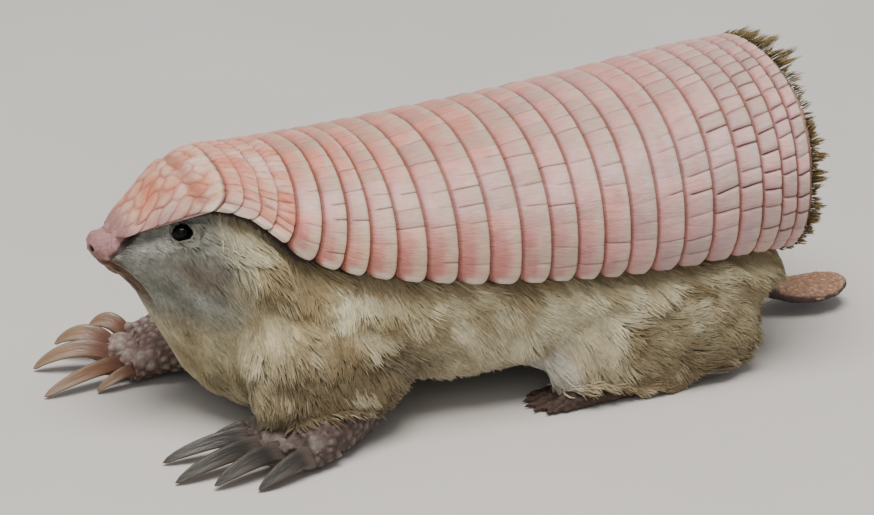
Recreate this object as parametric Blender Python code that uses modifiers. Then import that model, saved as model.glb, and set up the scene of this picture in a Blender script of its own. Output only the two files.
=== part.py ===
"""Pink fairy armadillo, life size, standing on the floor.

The animal faces -Y, its left side is +X and the floor is z = 0.  All sizes below are in millimetres and are
turned into metres when a mesh is made.  "Station" is the distance back from the tip of the nose.
"""

import math

import bmesh
import bpy
from mathutils import Vector

MM = 0.001
NAME = "pink_fairy_armadillo"
BOX_MIDDLE_STATION = 60.4  # station that lies on y = 0, halfway between the foremost claw and the tail's tip
SPINE_X = -1.9  # the spine lies right of the footprint's middle, as the left fore foot reaches further out
GAP = 0.35  # clearance between neighbouring pieces
SIDES = (("left", 1), ("right", -1))
ACROSS = Vector((1.0, 0.0, 0.0))
BACK = Vector((0.0, 1.0, 0.0))
UP = Vector((0.0, 0.0, 1.0))

# Shell
PLATE = 0.8  # thickness of a band or shield
FLESH_BELOW_SHELL = 1.5  # from the shell's outer face to the body under it
BAND_COUNT = 20
NUCHAL_COUNT = 4
BAND_RISE = 0.3  # how far a band's rear edge stands above its front edge
BAND_COLUMNS = 14
TAB_PLACES = (0.0, 0.2, 0.4, 0.6, 0.8, 0.92, 0.975, 1.0)  # columns, from the spine to the lower edge
INNER_HEIGHT = 26.0  # a height well inside the body, under every plate
SHIELD_FRONT = 2.95
SHIELD_REAR = 18.6
SHIELD_CORNER = 15.9
FIRST_BAND = 24.6  # stations of the first band's front and the last band's rear, along the lower edge
SHELL_END = 106.6
BAND_WIDTHS = (  # by number of the band, counted from 0; they are scaled to fill the length
    (0, 3.6), (2, 3.7), (3.5, 4.6), (7, 5.05), (9.5, 4.25), (13, 4.5), (14, 4.75), (16, 3.95),
    (18, 2.75), (19, 2.35),
)
LEAN = ((16.4, 2.8), (24.6, 4.6), (31.0, 4.5), (36.0, 3.4), (45.0, 1.9), (107.0, 1.6))

# Profiles of the shell: (station, height or half width)
TOP = (
    (2.4, 30.0), (5.0, 32.6), (7.9, 35.5), (10.3, 37.9), (13.6, 39.7), (16.0, 40.1), (19.0, 40.0),
    (25.0, 39.5), (40.0, 39.6), (55.0, 40.6), (70.0, 41.6), (88.0, 43.2), (100.0, 44.4), (108.5, 44.9),
)
HALF_WIDTH = (
    (2.4, 3.2), (4.1, 4.3), (7.8, 5.9), (11.5, 7.8), (16.8, 10.6), (20.0, 13.3), (26.4, 18.2),
    (35.0, 21.0), (46.0, 22.8), (60.0, 23.2), (88.0, 23.2), (100.0, 22.6), (108.5, 21.4),
)
EDGE = (
    (2.4, 29.3), (4.3, 30.5), (7.8, 32.0), (11.7, 33.6), (13.4, 34.4), (16.9, 35.0), (19.5, 34.6),
    (23.5, 32.0), (26.4, 29.2), (34.6, 26.0), (47.9, 23.4), (60.6, 21.4), (85.0, 19.3), (95.0, 19.5),
    (106.0, 18.4),
)
WIDEST = (
    (2.4, 29.2), (4.3, 30.4), (7.8, 31.9), (11.7, 33.5), (16.9, 34.7), (20.0, 34.0), (26.4, 29.4),
    (40.0, 26.0), (60.0, 24.0), (85.0, 25.0), (108.5, 27.5),
)
TUCK_DEPTH = ((26.0, 9.0), (85.0, 12.0), (108.5, 13.0))  # how the shell curls in below its widest height
SQUARENESS = ((16.0, 2.0), (60.0, 2.1), (108.5, 2.3))

# Profiles of the coat below the shell
FLANK_HALF_WIDTH = (
    (2.4, 3.2), (5.0, 4.7), (8.0, 6.5), (11.0, 8.6), (14.0, 11.4), (18.0, 15.4), (24.0, 19.0),
    (32.0, 21.0), (45.0, 21.8), (60.0, 21.8), (80.0, 22.4), (95.0, 21.6),
    (101.0, 20.4), (104.0, 18.8), (106.0, 16.8),
)
FLANK_DROP = ((2.4, 1.2), (11.0, 4.0), (24.0, 6.0), (50.0, 4.5), (106.0, 3.0))  # shell's edge to widest fur
BELLY = (
    (2.4, 24.8), (4.2, 23.0), (6.4, 20.6), (9.5, 14.8), (12.5, 9.2), (15.0, 5.2), (18.5, 3.0), (24.0, 2.8),
    (40.0, 2.9), (55.0, 2.7), (75.0, 2.9), (92.0, 3.6), (99.0, 5.6), (103.0, 8.6), (106.0, 13.4),
)
BELLY_ROUNDNESS = ((2.4, 2.2), (12.0, 2.3), (17.0, 3.0), (90.0, 3.0), (106.0, 2.3))

HEAD_STATIONS = (2.55, 3.6, 5.0, 6.8, 8.8, 11.0, 13.4, 15.5)
NECK_STATIONS = (15.8, 18.4, 21.2, 24.0)
TRUNK_STATIONS = (24.3, 26.5, 30.0, 35.5, 43.0, 53.0, 65.0, 77.0, 89.0, 97.0, 101.5, 104.0, 106.0)
NOSE_PAD = ((0.0, 28.5, 0.9, 0.8), (0.35, 28.6, 1.9, 1.6), (1.1, 28.4, 2.6, 2.3), (2.1, 27.9, 3.0, 2.7))

# Eyes and ears of the left side
ORGANS = (  # kind, material, place, radii
    ("eye", "eye", (6.9, 12.2, 31.2), (1.25, 1.5, 1.15)),
    ("ear", "skin", (9.0, 14.1, 30.0), (0.95, 1.0, 1.8)),
)

# Limbs of the left side: (x, station, z, half width, half length) of each cross-section
FORELEG = ((13.0, 29.5, 21.0, 7.0, 11.0), (16.8, 29.8, 15.5, 7.0, 12.8), (19.4, 29.8, 9.5, 6.4, 12.8),
           (20.4, 29.4, 4.9, 5.0, 11.2))
HINDLEG = ((13.0, 83.0, 19.0, 6.5, 17.0), (16.6, 82.5, 13.0, 6.4, 19.0), (19.2, 81.8, 6.5, 5.2, 18.6),
           (19.8, 81.2, 1.5, 4.0, 15.8))

# Fore foot: a broad digging hand.  (forward, outward, centre height, half width, half height)
HAND_SECTIONS = ((-12.0, 0.0, 5.0, 3.6, 3.2), (-8.5, 0.2, 4.5, 5.6, 4.1), (-2.5, 0.4, 4.0, 7.5, 3.9),
                 (2.2, 0.4, 3.4, 8.0, 3.3), (4.3, 0.3, 3.0, 7.0, 2.4))
DIGITS = (  # outward place, forward place, claw length, half width of the claw's base
    (-6.0, 4.2, 5.6, 1.0),
    (-3.5, 6.0, 12.6, 1.35),
    (0.0, 7.0, 13.6, 1.6),
    (3.4, 6.2, 11.6, 1.65),
    (7.0, 3.4, 9.2, 1.6),
)
# Sections of a finger: along, wider than its claw, half height, centre height
FINGER = ((-3.0, 0.35, 1.9, 2.5), (1.1, 0.35, 1.9, 2.5), (2.4, 0.1, 1.65, 2.35))
CLAW_ROOT = 2.4
CLAW_ROOT_HEIGHT = 2.35
CLAW_TIP = 0.32
CLAW_DEPTH = 1.22  # half depth at the root, as a share of the half width there
CLAW_BLUNTNESS = 0.56  # the lower, the longer a claw keeps its breadth
CLAW_ARCH = 0.04  # rise of a straight claw's middle, as a share of its length
CLAW_CURL = 0.3  # further rise, as a share of the length by which its reach falls short
CLAW_RINGS = (0.0, 0.4, 0.78, 1.0)
# Place of each fore foot: outward, station, turn outward in degrees
FORE_FEET = {"left": (20.6, 26.0, 16.0), "right": (16.4, 17.0, 12.0)}
# How each digit is held: turn outward, height of the claw's tip, straightness of the claw
DIGIT_POSES = {
    "left": ((-24, 0.5, 1.0), (-17, 0.5, 1.0), (-4, 0.5, 1.0), (2, 0.9, 0.95), (6, 0.5, 1.0)),
    "right": ((-22, 0.5, 1.0), (-24, 0.5, 1.0), (5, 0.5, 0.8), (13, 2.4, 0.7), (24, 2.8, 0.62)),
}

# Hind foot: a flat sole, measured from its heel
SOLE_SECTIONS = ((0.0, 1.8, 1.7), (2.6, 3.0, 2.6), (9.0, 3.6, 2.8), (15.5, 4.1, 2.4), (19.0, 3.9, 1.8))
SOLE_SINK = 0.6  # how much of a sole's section is pressed flat
TOES = ((-3.1, 1.8, -8.0), (-1.6, 3.2, -3.0), (0.0, 3.8, 0.0), (1.6, 3.2, 4.0), (3.1, 1.8, 9.0))
TOE = (  # along, along as a share of the toe's length, half width, half height, centre height
    (-3.0, 0.0, 0.95, 1.2, 1.0),
    (0.0, 0.5, 0.95, 1.2, 1.0),
    (0.0, 1.0, 0.6, 0.7, 0.9),
    (2.8, 1.0, 0.28, 0.3, 0.45),
)
TOE_ROOM = 4.5  # space kept clear of the leg's coat in front of the sole
HEEL = (19.9, 86.0, 0.0)

# Tail: (station, centre height, half width, half thickness)
TAIL = ((103.4, 11.8, 2.0, 1.9), (106.2, 9.0, 2.0, 1.7), (108.8, 6.2, 2.3, 1.5), (111.6, 4.2, 3.2, 1.4),
        (114.8, 3.2, 4.5, 1.3), (118.4, 3.0, 5.1, 1.25), (121.8, 3.3, 4.6, 1.1), (124.0, 3.7, 2.8, 0.9),
        (124.8, 3.9, 1.1, 0.5))

# Rump: the upright plate behind the last band and the collar of bristles between the two
RUMP_DISCS = ((0.92, 0.7), (0.6, 1.9), (0.25, 2.5))  # share of the shell's section, distance behind its edge
RIM_STEPS = 20
FRINGE_ROOT = (-1.0, -0.05)  # inner and outer side of the bristles' roots, from the shell's outer face
FRINGE_FLARE = ((0.0, 1.0), (0.12, 0.8), (0.25, 0.2), (0.45, 0.8), (0.75, 0.3), (1.0, 0.2))  # by half turn
FRINGE_REACH = ((0.0, 4.4), (0.12, 3.6), (0.22, 1.8), (0.4, 2.4), (0.55, 2.4), (0.75, 1.4), (1.0, 1.2))

COLOURS = {
    "scutes": ((0.80, 0.52, 0.44), 0.5),
    "coat": ((0.66, 0.60, 0.45), 0.9),
    "skin": ((0.62, 0.42, 0.36), 0.6),
    "claw": ((0.66, 0.52, 0.42), 0.4),
    "eye": ((0.01, 0.01, 0.01), 0.1),
    "bristle": ((0.36, 0.31, 0.20), 0.9),
}


def smooth(table, at):
    """Value of a smooth monotone curve through the (place, value) pairs of the table."""
    if at <= table[0][0]:
        return table[0][1]
    if at >= table[-1][0]:
        return table[-1][1]
    steps = [(b[0] - a[0], (b[1] - a[1]) / (b[0] - a[0])) for a, b in zip(table, table[1:])]
    slopes = [steps[0][1]]
    for (run_a, rise_a), (run_b, rise_b) in zip(steps, steps[1:]):
        if rise_a * rise_b <= 0.0:
            slopes.append(0.0)
        else:
            weight_a, weight_b = 2 * run_b + run_a, run_b + 2 * run_a
            slopes.append((weight_a + weight_b) / (weight_a / rise_a + weight_b / rise_b))
    slopes.append(steps[-1][1])
    i = max(k for k in range(len(steps)) if table[k][0] <= at)
    run = steps[i][0]
    u = (at - table[i][0]) / run
    return (
        (2 * u**3 - 3 * u**2 + 1) * table[i][1]
        + (u**3 - 2 * u**2 + u) * run * slopes[i]
        + (3 * u**2 - 2 * u**3) * table[i + 1][1]
        + (u**3 - u**2) * run * slopes[i + 1]
    )


def place(x, station, z):
    return Vector((x, station - BOX_MIDDLE_STATION, z))


def signed_power(value, power):
    return math.copysign(abs(value) ** power, value)


# ---------------------------------------------------------------- shell surface


def edge_angle(station):
    """Angle from the top of the shell down to its lower edge, as used by shell_point."""
    widest = smooth(WIDEST, station)
    edge = smooth(EDGE, station)
    power = smooth(SQUARENESS, station) / 2
    if edge >= widest:
        return math.acos(((edge - widest) / (smooth(TOP, station) - widest)) ** power)
    return math.pi / 2 + math.asin(min(1.0, (widest - edge) / smooth(TUCK_DEPTH, station)) ** power)


def shell_point(station, angle, outward=0.0):
    """Point of the shell's outer face, angle radians from the top (positive to the left), moved outward."""
    widest = smooth(WIDEST, station)
    power = 2 / smooth(SQUARENESS, station)
    rise = smooth(TOP, station) - widest if abs(angle) < math.pi / 2 else smooth(TUCK_DEPTH, station)
    x = (smooth(HALF_WIDTH, station) + outward) * signed_power(math.sin(angle), power)
    z = widest + (rise + outward) * signed_power(math.cos(angle), power)
    return place(x, station, z)


def row_station(lower_station, across):
    """Station of a row of the shell at a place across it, 0 at the spine and 1 at the lower edge."""
    return lower_station + smooth(LEAN, lower_station) * (1.0 - abs(across) ** 1.5)


def shell_row_point(lower_station, across, outward):
    station = row_station(lower_station, across)
    return shell_point(station, across * edge_angle(station), outward)


def shield_rear(across):
    """Station of the head shield's rear edge, whose corners are rounded."""
    return SHIELD_REAR - (SHIELD_REAR - SHIELD_CORNER) * abs(across) ** 4


# ---------------------------------------------------------------- body sections


def body_section(station, arch_steps=7, flank_steps=5):
    """Closed section of the head, neck or trunk: an arch under the shell and the coat hanging below it."""
    last = edge_angle(station)
    slope = smooth(TOP, station + 0.5) - smooth(TOP, station - 0.5)
    depth = FLESH_BELOW_SHELL * math.hypot(1.0, 1.3 * slope)
    left = [shell_point(station, last * k / arch_steps, -depth) for k in range(arch_steps + 1)]
    edge = left[-1]
    left.append(edge + Vector((0.1, 0.0, -0.7)))
    half = smooth(FLANK_HALF_WIDTH, station)
    top = edge.z - smooth(FLANK_DROP, station)
    bottom = smooth(BELLY, station)
    power = 2 / smooth(BELLY_ROUNDNESS, station)
    for k in range(flank_steps + 1):
        angle = math.pi / 2 * k / flank_steps
        x = half * max(0.0, math.cos(angle)) ** power
        z = top - (top - bottom) * math.sin(angle) ** power
        left.append(Vector((x, edge.y, z)))
    left[0].x = left[-1].x = 0.0
    right = [Vector((-point.x, point.y, point.z)) for point in left[-2:0:-1]]
    return left + right


def oval(centre, side, up, half_side, half_up, count, squareness=2.0):
    power = 2 / squareness
    ring = []
    for k in range(count):
        angle = 2 * math.pi * k / count
        along_side = side * (half_side * signed_power(math.sin(angle), power))
        ring.append(centre + along_side + up * (half_up * signed_power(math.cos(angle), power)))
    return ring


# ---------------------------------------------------------------- making objects


def material(kind):
    name = NAME + "_" + kind
    if name in bpy.data.materials:
        return bpy.data.materials[name]
    colour, roughness = COLOURS[kind]
    made = bpy.data.materials.new(name)
    made.use_nodes = True
    shader = made.node_tree.nodes["Principled BSDF"]
    shader.inputs["Base Color"].default_value = (*colour, 1.0)
    shader.inputs["Roughness"].default_value = roughness
    shader.inputs["Metallic"].default_value = 0.0
    return made


def add_object(name, shape, kind, collection):
    """Makes an object from a bmesh in millimetres."""
    bmesh.ops.recalc_face_normals(shape, faces=shape.faces)
    bmesh.ops.scale(shape, vec=(MM, MM, MM), verts=shape.verts)
    mesh = bpy.data.meshes.new(name)
    shape.to_mesh(mesh)
    shape.free()
    mesh.materials.append(material(kind))
    mesh.shade_smooth()
    made = bpy.data.objects.new(name, mesh)
    made.location.x = SPINE_X * MM
    collection.objects.link(made)
    return made


def bridge(shape, row, after):
    for k, vertex in enumerate(row):
        following = (k + 1) % len(row)
        shape.faces.new((vertex, row[following], after[following], after[k]))


def loft(rings):
    """Closed bmesh through rings of equally many points, with flat ends."""
    shape = bmesh.new()
    rows = [[shape.verts.new(point) for point in ring] for ring in rings]
    for row, after in zip(rows, rows[1:]):
        bridge(shape, row, after)
    shape.faces.new(rows[0][::-1])
    shape.faces.new(rows[-1])
    return shape


def closed_loft(rings):
    """Closed bmesh through rings that come back to the first one, as round a collar."""
    shape = bmesh.new()
    rows = [[shape.verts.new(point) for point in ring] for ring in rings]
    for row, after in zip(rows, rows[1:] + rows[:1]):
        bridge(shape, row, after)
    return shape


def sheet(columns, rows, surface):
    """Open bmesh grid whose points are surface(across, along), across from -1 to 1 and along from 0 to 1."""
    shape = bmesh.new()
    bmesh.ops.create_grid(shape, x_segments=columns, y_segments=rows, size=1.0)
    for vertex in shape.verts:
        vertex.co = surface(vertex.co.x, (vertex.co.y + 1.0) / 2.0)
    return shape


def add_plate(name, shape, parts):
    """A shell plate: an open sheet thickened inward.  The sheet's faces must point out of the body."""
    middle = sum((vertex.co for vertex in shape.verts), Vector()) / len(shape.verts)
    inside = Vector((0.0, middle.y, INNER_HEIGHT))
    made = add_object(name, shape, "scutes", parts)
    outward = sum(face.normal.dot(face.center - inside * MM) for face in made.data.polygons)
    if outward < 0:
        made.data.flip_normals()
    solidify = made.modifiers.new("thickness", "SOLIDIFY")
    solidify.thickness = PLATE * MM
    solidify.offset = -1.0
    solidify.use_even_offset = False


def cut(target, cutter, operation="DIFFERENCE"):
    boolean = target.modifiers.new(operation.lower(), "BOOLEAN")
    boolean.operation = operation
    boolean.object = cutter


def lengthened(rings, direction, ahead=0.0):
    """Adds clearance at both ends of a socket's rings, and any further length ahead of the last one."""
    first = [point - direction * GAP for point in rings[0]]
    last = [point + direction * (GAP + ahead) for point in rings[-1]]
    return [first, *rings[1:], last]


# ---------------------------------------------------------------- body parts


def add_body(parts):
    count = len(body_section(HEAD_STATIONS[0]))
    nose = [oval(place(0, s, z), ACROSS, UP, half, height, count) for s, z, half, height in NOSE_PAD]
    head = add_object("head", loft(nose + [body_section(s) for s in HEAD_STATIONS]), "coat", parts)
    neck = add_object("neck", loft([body_section(s) for s in NECK_STATIONS]), "coat", parts)
    trunk = add_object("trunk", loft([body_section(s) for s in TRUNK_STATIONS]), "coat", parts)
    return head, neck, trunk


def ball(centre, radii):
    shape = bmesh.new()
    bmesh.ops.create_uvsphere(shape, u_segments=10, v_segments=6, radius=1.0)
    bmesh.ops.scale(shape, vec=radii, verts=shape.verts)
    bmesh.ops.translate(shape, vec=centre, verts=shape.verts)
    return shape


def add_eyes_and_ears(head, parts, cutters):
    for side, sign in SIDES:
        for kind, finish, (x, station, z), radii in ORGANS:
            centre = place(sign * x, station, z)
            add_object(f"{kind}_{side}", ball(centre, radii), finish, parts)
            socket = ball(centre, [radius + GAP for radius in radii])
            cut(head, add_object(f"{kind}_socket_{side}", socket, "skin", cutters))


def limb_rings(sections, sign, by=0.0):
    return [oval(place(sign * x, s, z), ACROSS, BACK, half + by, length + by, 14, 2.3)
            for x, s, z, half, length in sections]


def add_leg(name, sections, sign, bodies, parts, cutters):
    leg = add_object(name, loft(limb_rings(sections, sign)), "coat", parts)
    socket = loft(lengthened(limb_rings(sections, sign, GAP), -UP))
    socket = add_object(name + "_socket", socket, "coat", cutters)
    for body in bodies:
        cut(body, socket)
    return leg


class FootFrame:
    """Turns places measured forward and outward on a foot into places in the room, the sole on the floor."""

    def __init__(self, x, station, turn, sign):
        angle = math.radians(turn)
        self.forward = Vector((sign * math.sin(angle), -math.cos(angle), 0.0))
        self.outward = Vector((sign * math.cos(angle), math.sin(angle), 0.0))
        self.origin = place(sign * x, station, 0.0)

    def point(self, forward, outward, z):
        return self.origin + self.forward * forward + self.outward * outward + UP * z

    def turned(self, degrees):
        angle = math.radians(degrees)
        forward = self.forward * math.cos(angle) + self.outward * math.sin(angle)
        outward = self.outward * math.cos(angle) - self.forward * math.sin(angle)
        return forward, outward


def on_floor(rings):
    """Presses whatever lies under the floor flat onto it."""
    return [[Vector((p.x, p.y, max(p.z, 0.0))) for p in ring] for ring in rings]


def hand_rings(frame, by=0.0):
    return [oval(frame.point(forward, outward, z), frame.outward, UP, half + by, height + by, 14, 2.4)
            for forward, outward, z, half, height in HAND_SECTIONS]


def claw_rings(root, ahead, beside, length, half, tip_z, straightness):
    """A claw, deeper than wide at its root and blunt at its tip; the less straight, the more it arches."""
    reach = length * straightness
    arch = length * (CLAW_ARCH + CLAW_CURL * (1.0 - straightness))
    rings = []
    for u in CLAW_RINGS:
        taper = (1.0 - u) ** CLAW_BLUNTNESS
        fall = (tip_z - CLAW_ROOT_HEIGHT) * u**1.2
        centre = root + ahead * (reach * u) + UP * (CLAW_ROOT_HEIGHT + fall + arch * math.sin(math.pi * u))
        width = CLAW_TIP + (half - CLAW_TIP) * taper
        depth = CLAW_TIP + (half * CLAW_DEPTH - CLAW_TIP) * taper
        rings.append(oval(centre, beside, UP, width, depth, 7))
    return rings


def add_fore_foot(side, sign, parts, cutters):
    frame = FootFrame(*FORE_FEET[side], sign)
    foot = add_object("forefoot_" + side, loft(on_floor(hand_rings(frame))), "skin", parts)
    for k, (outward, forward, length, half) in enumerate(DIGITS):
        turn, tip_z, straightness = DIGIT_POSES[side][k]
        base = frame.point(forward - 0.5, outward, 0.0)
        ahead, beside = frame.turned(turn)
        finger = [oval(base + ahead * along + UP * z, beside, UP, half + wider, height, 7, 2.3)
                  for along, wider, height, z in FINGER]
        finger = add_object(f"forefoot_{side}_digit_{k + 1}", loft(on_floor(finger)), "skin", cutters)
        cut(foot, finger, "UNION")
        root = base + ahead * (CLAW_ROOT + GAP)
        rings = claw_rings(root, ahead, beside, length, half, tip_z, straightness)
        add_object(f"claw_{side}_{k + 1}", loft(rings), "claw", parts)
    socket = loft(lengthened(hand_rings(frame, GAP), frame.forward))
    return add_object(f"forefoot_{side}_socket", socket, "skin", cutters)


def sole_rings(frame, by=0.0):
    return [
        oval(frame.point(forward, 0, height - SOLE_SINK), frame.outward, UP, half + by, height + by, 12, 2.3)
        for forward, half, height in SOLE_SECTIONS
    ]


def add_hind_foot(side, sign, parts, cutters):
    frame = FootFrame(*HEEL, sign)
    foot = add_object("hindfoot_" + side, loft(on_floor(sole_rings(frame))), "skin", parts)
    for k, (outward, length, angle) in enumerate(TOES):
        base = frame.point(SOLE_SECTIONS[-1][0] - 0.6, outward, 0.0)
        ahead, beside = frame.turned(angle)
        toe = [oval(base + ahead * (along + share * length) + UP * z, beside, UP, half, height, 6)
               for along, share, half, height, z in TOE]
        toe = add_object(f"hindfoot_{side}_toe_{k + 1}", loft(on_floor(toe)), "skin", cutters)
        cut(foot, toe, "UNION")
    socket = loft(lengthened(sole_rings(frame, GAP), frame.forward, TOE_ROOM))
    return add_object(f"hindfoot_{side}_socket", socket, "skin", cutters)


def add_limbs(head, neck, trunk, parts, cutters):
    for side, sign in SIDES:
        leg = add_leg("foreleg_" + side, FORELEG, sign, (trunk, neck), parts, cutters)
        socket = add_fore_foot(side, sign, parts, cutters)
        for body in (leg, trunk, neck, head):
            cut(body, socket)
        leg = add_leg("hindleg_" + side, HINDLEG, sign, (trunk,), parts, cutters)
        socket = add_hind_foot(side, sign, parts, cutters)
        for body in (leg, trunk):
            cut(body, socket)


def tail_rings(by=0.0):
    """Sections square to the tail's run, which curves down from the rump and ends in a flat blade."""
    rings = []
    centres = [place(0.0, s, z) for s, z, half, thick in TAIL]
    for k, (s, z, half, thick) in enumerate(TAIL):
        run = (centres[min(k + 1, len(TAIL) - 1)] - centres[max(k - 1, 0)]).normalized()
        rings.append(oval(centres[k], ACROSS, run.cross(ACROSS), half + by, thick + by, 12, 2.3))
    return rings


def add_tail(trunk, parts, cutters):
    add_object("tail", loft(tail_rings()), "skin", parts)
    socket = loft(lengthened(tail_rings(GAP), BACK))
    cut(trunk, add_object("tail_socket", socket, "skin", cutters))


# ---------------------------------------------------------------- shell parts


def add_head_shield(parts):
    def surface(across, along):
        front = SHIELD_FRONT + 1.3 * abs(across) ** 2
        station = front + (shield_rear(across) - front) * along
        return shell_point(station, across * edge_angle(station))

    add_plate("head_shield", sheet(12, 6, surface), parts)


def rounded(along, across, roundness, reach):
    """Narrows a band towards its middle near its lower end, so that the end is a rounded tab."""
    into_tab = max(0.0, (abs(across) - (1.0 - reach)) / reach)
    width = 1.0 - roundness * (1.0 - math.sqrt(max(0.0, 1.0 - into_tab**2)))
    return 0.5 + (along - 0.5) * width


def tab_rows(across):
    """Spreads a grid's columns so that three of them lie in each rounded end."""
    column = round(abs(across) * BAND_COLUMNS / 2)
    return math.copysign(TAB_PLACES[column], across)


def add_nuchal_rows(parts):
    for number in range(NUCHAL_COUNT):
        def surface(across, along, number=number):
            across = tab_rows(across)
            along = rounded(along, across, 0.4, 0.09)
            share = (number + along) / NUCHAL_COUNT
            front = shield_rear(across) + GAP / 2
            rear = row_station(FIRST_BAND, across) - GAP / 2
            inner = GAP / 2 * (1.0 - 2.0 * along)
            station = front + (rear - front) * share + inner
            return shell_point(station, across * edge_angle(station), BAND_RISE * (along - 1.0))

        add_plate(f"nuchal_row_{number + 1}", sheet(BAND_COLUMNS, 1, surface), parts)


def band_bounds():
    widths = [smooth(BAND_WIDTHS, k) for k in range(BAND_COUNT)]
    scale = (SHELL_END - FIRST_BAND) / sum(widths)
    front = FIRST_BAND
    for width in widths:
        yield front, front + width * scale
        front += width * scale


def add_bands(parts):
    for number, (front, rear) in enumerate(band_bounds(), 1):
        def surface(across, along, front=front, rear=rear):
            across = tab_rows(across)
            along = rounded(along, across, 0.6, 0.12)
            lower = front + GAP / 2 + (rear - front - GAP) * along
            return shell_row_point(lower, across, BAND_RISE * (along - 1.0))

        add_plate(f"band_{number:02d}", sheet(BAND_COLUMNS, 1, surface), parts)


def rim_point(half_turn, outward, behind, share=1.0):
    """Point of the shell's rear edge, half_turn 0 at the top and 1 at the bottom, negative on the right."""
    turn = math.pi * half_turn
    station = row_station(SHELL_END, min(1.0, 1.15 * math.sin(turn / 2) ** 2))
    widest = smooth(WIDEST, station)
    power = 2 / smooth(SQUARENESS, station)
    rise = smooth(TOP, station) - widest if math.cos(turn) > 0 else smooth(TUCK_DEPTH, station)
    x = (smooth(HALF_WIDTH, station) + outward) * share * signed_power(math.sin(turn), power)
    z = widest + (rise + outward) * share * signed_power(math.cos(turn), power)
    return place(x, station + behind, z)


def add_rump(parts):
    """The upright plate that closes the shell behind, and the collar of bristles round it."""
    half_turns = [2.0 * k / RIM_STEPS - 1.0 for k in range(RIM_STEPS)]
    discs = [(share, behind - PLATE) for share, behind in RUMP_DISCS[::-1]] + list(RUMP_DISCS)
    plate = loft([rim_point(h, 0.0, behind, share) for h in half_turns] for share, behind in discs)
    add_object("rump_plate", plate, "scutes", parts)

    root_in, root_out = FRINGE_ROOT
    collar = []
    for h in half_turns:
        flare, reach = smooth(FRINGE_FLARE, abs(h)), smooth(FRINGE_REACH, abs(h))
        tip = ((flare, reach), (flare - PLATE, reach + GAP))
        section = ((root_in, GAP), (root_out, GAP), *tip, (root_in, 3 * GAP))
        collar.append([rim_point(h, outward, behind) for outward, behind in section])
    add_object("rump_fringe", closed_loft(collar), "bristle", parts)


def build():
    for leftover in list(bpy.data.objects):
        bpy.data.objects.remove(leftover)
    scene = bpy.context.scene
    parts = bpy.data.collections.new(NAME)
    cutters = bpy.data.collections.new("cutters")
    scene.collection.children.link(parts)
    scene.collection.children.link(cutters)
    head, neck, trunk = add_body(parts)
    add_eyes_and_ears(head, parts, cutters)
    add_limbs(head, neck, trunk, parts, cutters)
    add_tail(trunk, parts, cutters)
    add_head_shield(parts)
    add_nuchal_rows(parts)
    add_bands(parts)
    add_rump(parts)
    for helper in cutters.objects:
        helper.hide_render = True
        helper.display_type = "WIRE"


build()
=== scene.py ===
"""Looks of the life-size pink fairy armadillo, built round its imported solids.

The animal faces -Y, its left side is +X and the floor is z = 0.  Shapes are worked out in millimetres in the
animal's own measure, which is (x from the spine, station back from the tip of the nose, height), and are
made in metres.  Colours are written as 0 to 255 and turned into linear values when a mesh is made; only
the lamps' and the sky's are written as linear values.
"""

import math

import bmesh
import bpy
import numpy as np
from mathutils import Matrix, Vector
from mathutils.bvhtree import BVHTree
from mathutils.kdtree import KDTree


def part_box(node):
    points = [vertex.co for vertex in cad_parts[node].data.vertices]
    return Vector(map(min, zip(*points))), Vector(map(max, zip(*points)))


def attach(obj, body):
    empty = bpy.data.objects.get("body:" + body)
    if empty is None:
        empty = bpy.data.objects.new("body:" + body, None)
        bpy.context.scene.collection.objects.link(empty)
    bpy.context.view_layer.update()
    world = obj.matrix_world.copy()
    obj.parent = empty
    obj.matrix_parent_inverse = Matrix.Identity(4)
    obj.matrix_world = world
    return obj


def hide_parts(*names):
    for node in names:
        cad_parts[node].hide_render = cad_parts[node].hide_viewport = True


MM = 0.001
SIDES = (("left", 1), ("right", -1))
CLAWS = range(1, 6)

# Shell profiles: (station, height or half width)
TOP = (
    (2.4, 30.0), (5.0, 32.6), (7.9, 35.5), (10.3, 37.9), (13.6, 39.7), (16.0, 40.1), (19.0, 40.0),
    (25.0, 39.5), (40.0, 39.6), (55.0, 40.6), (70.0, 41.6), (88.0, 43.2), (100.0, 44.4), (108.5, 44.9),
)
HALF_WIDTH = (
    (2.4, 3.2), (4.1, 4.3), (7.8, 5.9), (11.5, 7.8), (16.8, 10.6), (20.0, 13.3), (26.4, 18.2),
    (35.0, 21.0), (46.0, 22.8), (60.0, 23.2), (88.0, 23.2), (100.0, 22.6), (108.5, 21.4),
)
EDGE = (
    (2.4, 29.3), (4.3, 30.5), (7.8, 32.0), (11.7, 33.6), (13.4, 34.4), (16.9, 35.0), (19.5, 34.6),
    (23.5, 32.0), (26.4, 29.2), (34.6, 26.0), (47.9, 23.4), (60.6, 21.4), (85.0, 19.3), (95.0, 19.5),
    (106.0, 18.4),
)
WIDEST = (
    (2.4, 29.2), (4.3, 30.4), (7.8, 31.9), (11.7, 33.5), (16.9, 34.7), (20.0, 34.0), (26.4, 29.4),
    (40.0, 26.0), (60.0, 24.0), (85.0, 25.0), (108.5, 27.5),
)
TUCK_DEPTH = ((26.0, 9.0), (85.0, 12.0), (108.5, 13.0))
SQUARENESS = ((16.0, 2.0), (60.0, 2.1), (108.5, 2.3))
LEAN = ((16.4, 2.8), (24.6, 4.6), (31.0, 4.5), (36.0, 3.4), (45.0, 1.9), (107.0, 1.6))
BELLY = (
    (2.4, 24.8), (4.2, 23.0), (6.4, 20.6), (9.5, 14.8), (12.5, 9.2), (15.0, 5.2), (18.5, 3.0), (24.0, 2.8),
    (40.0, 2.9), (55.0, 2.7), (75.0, 2.9), (92.0, 3.6), (99.0, 5.6), (103.0, 8.6), (106.0, 13.4),
)

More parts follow.
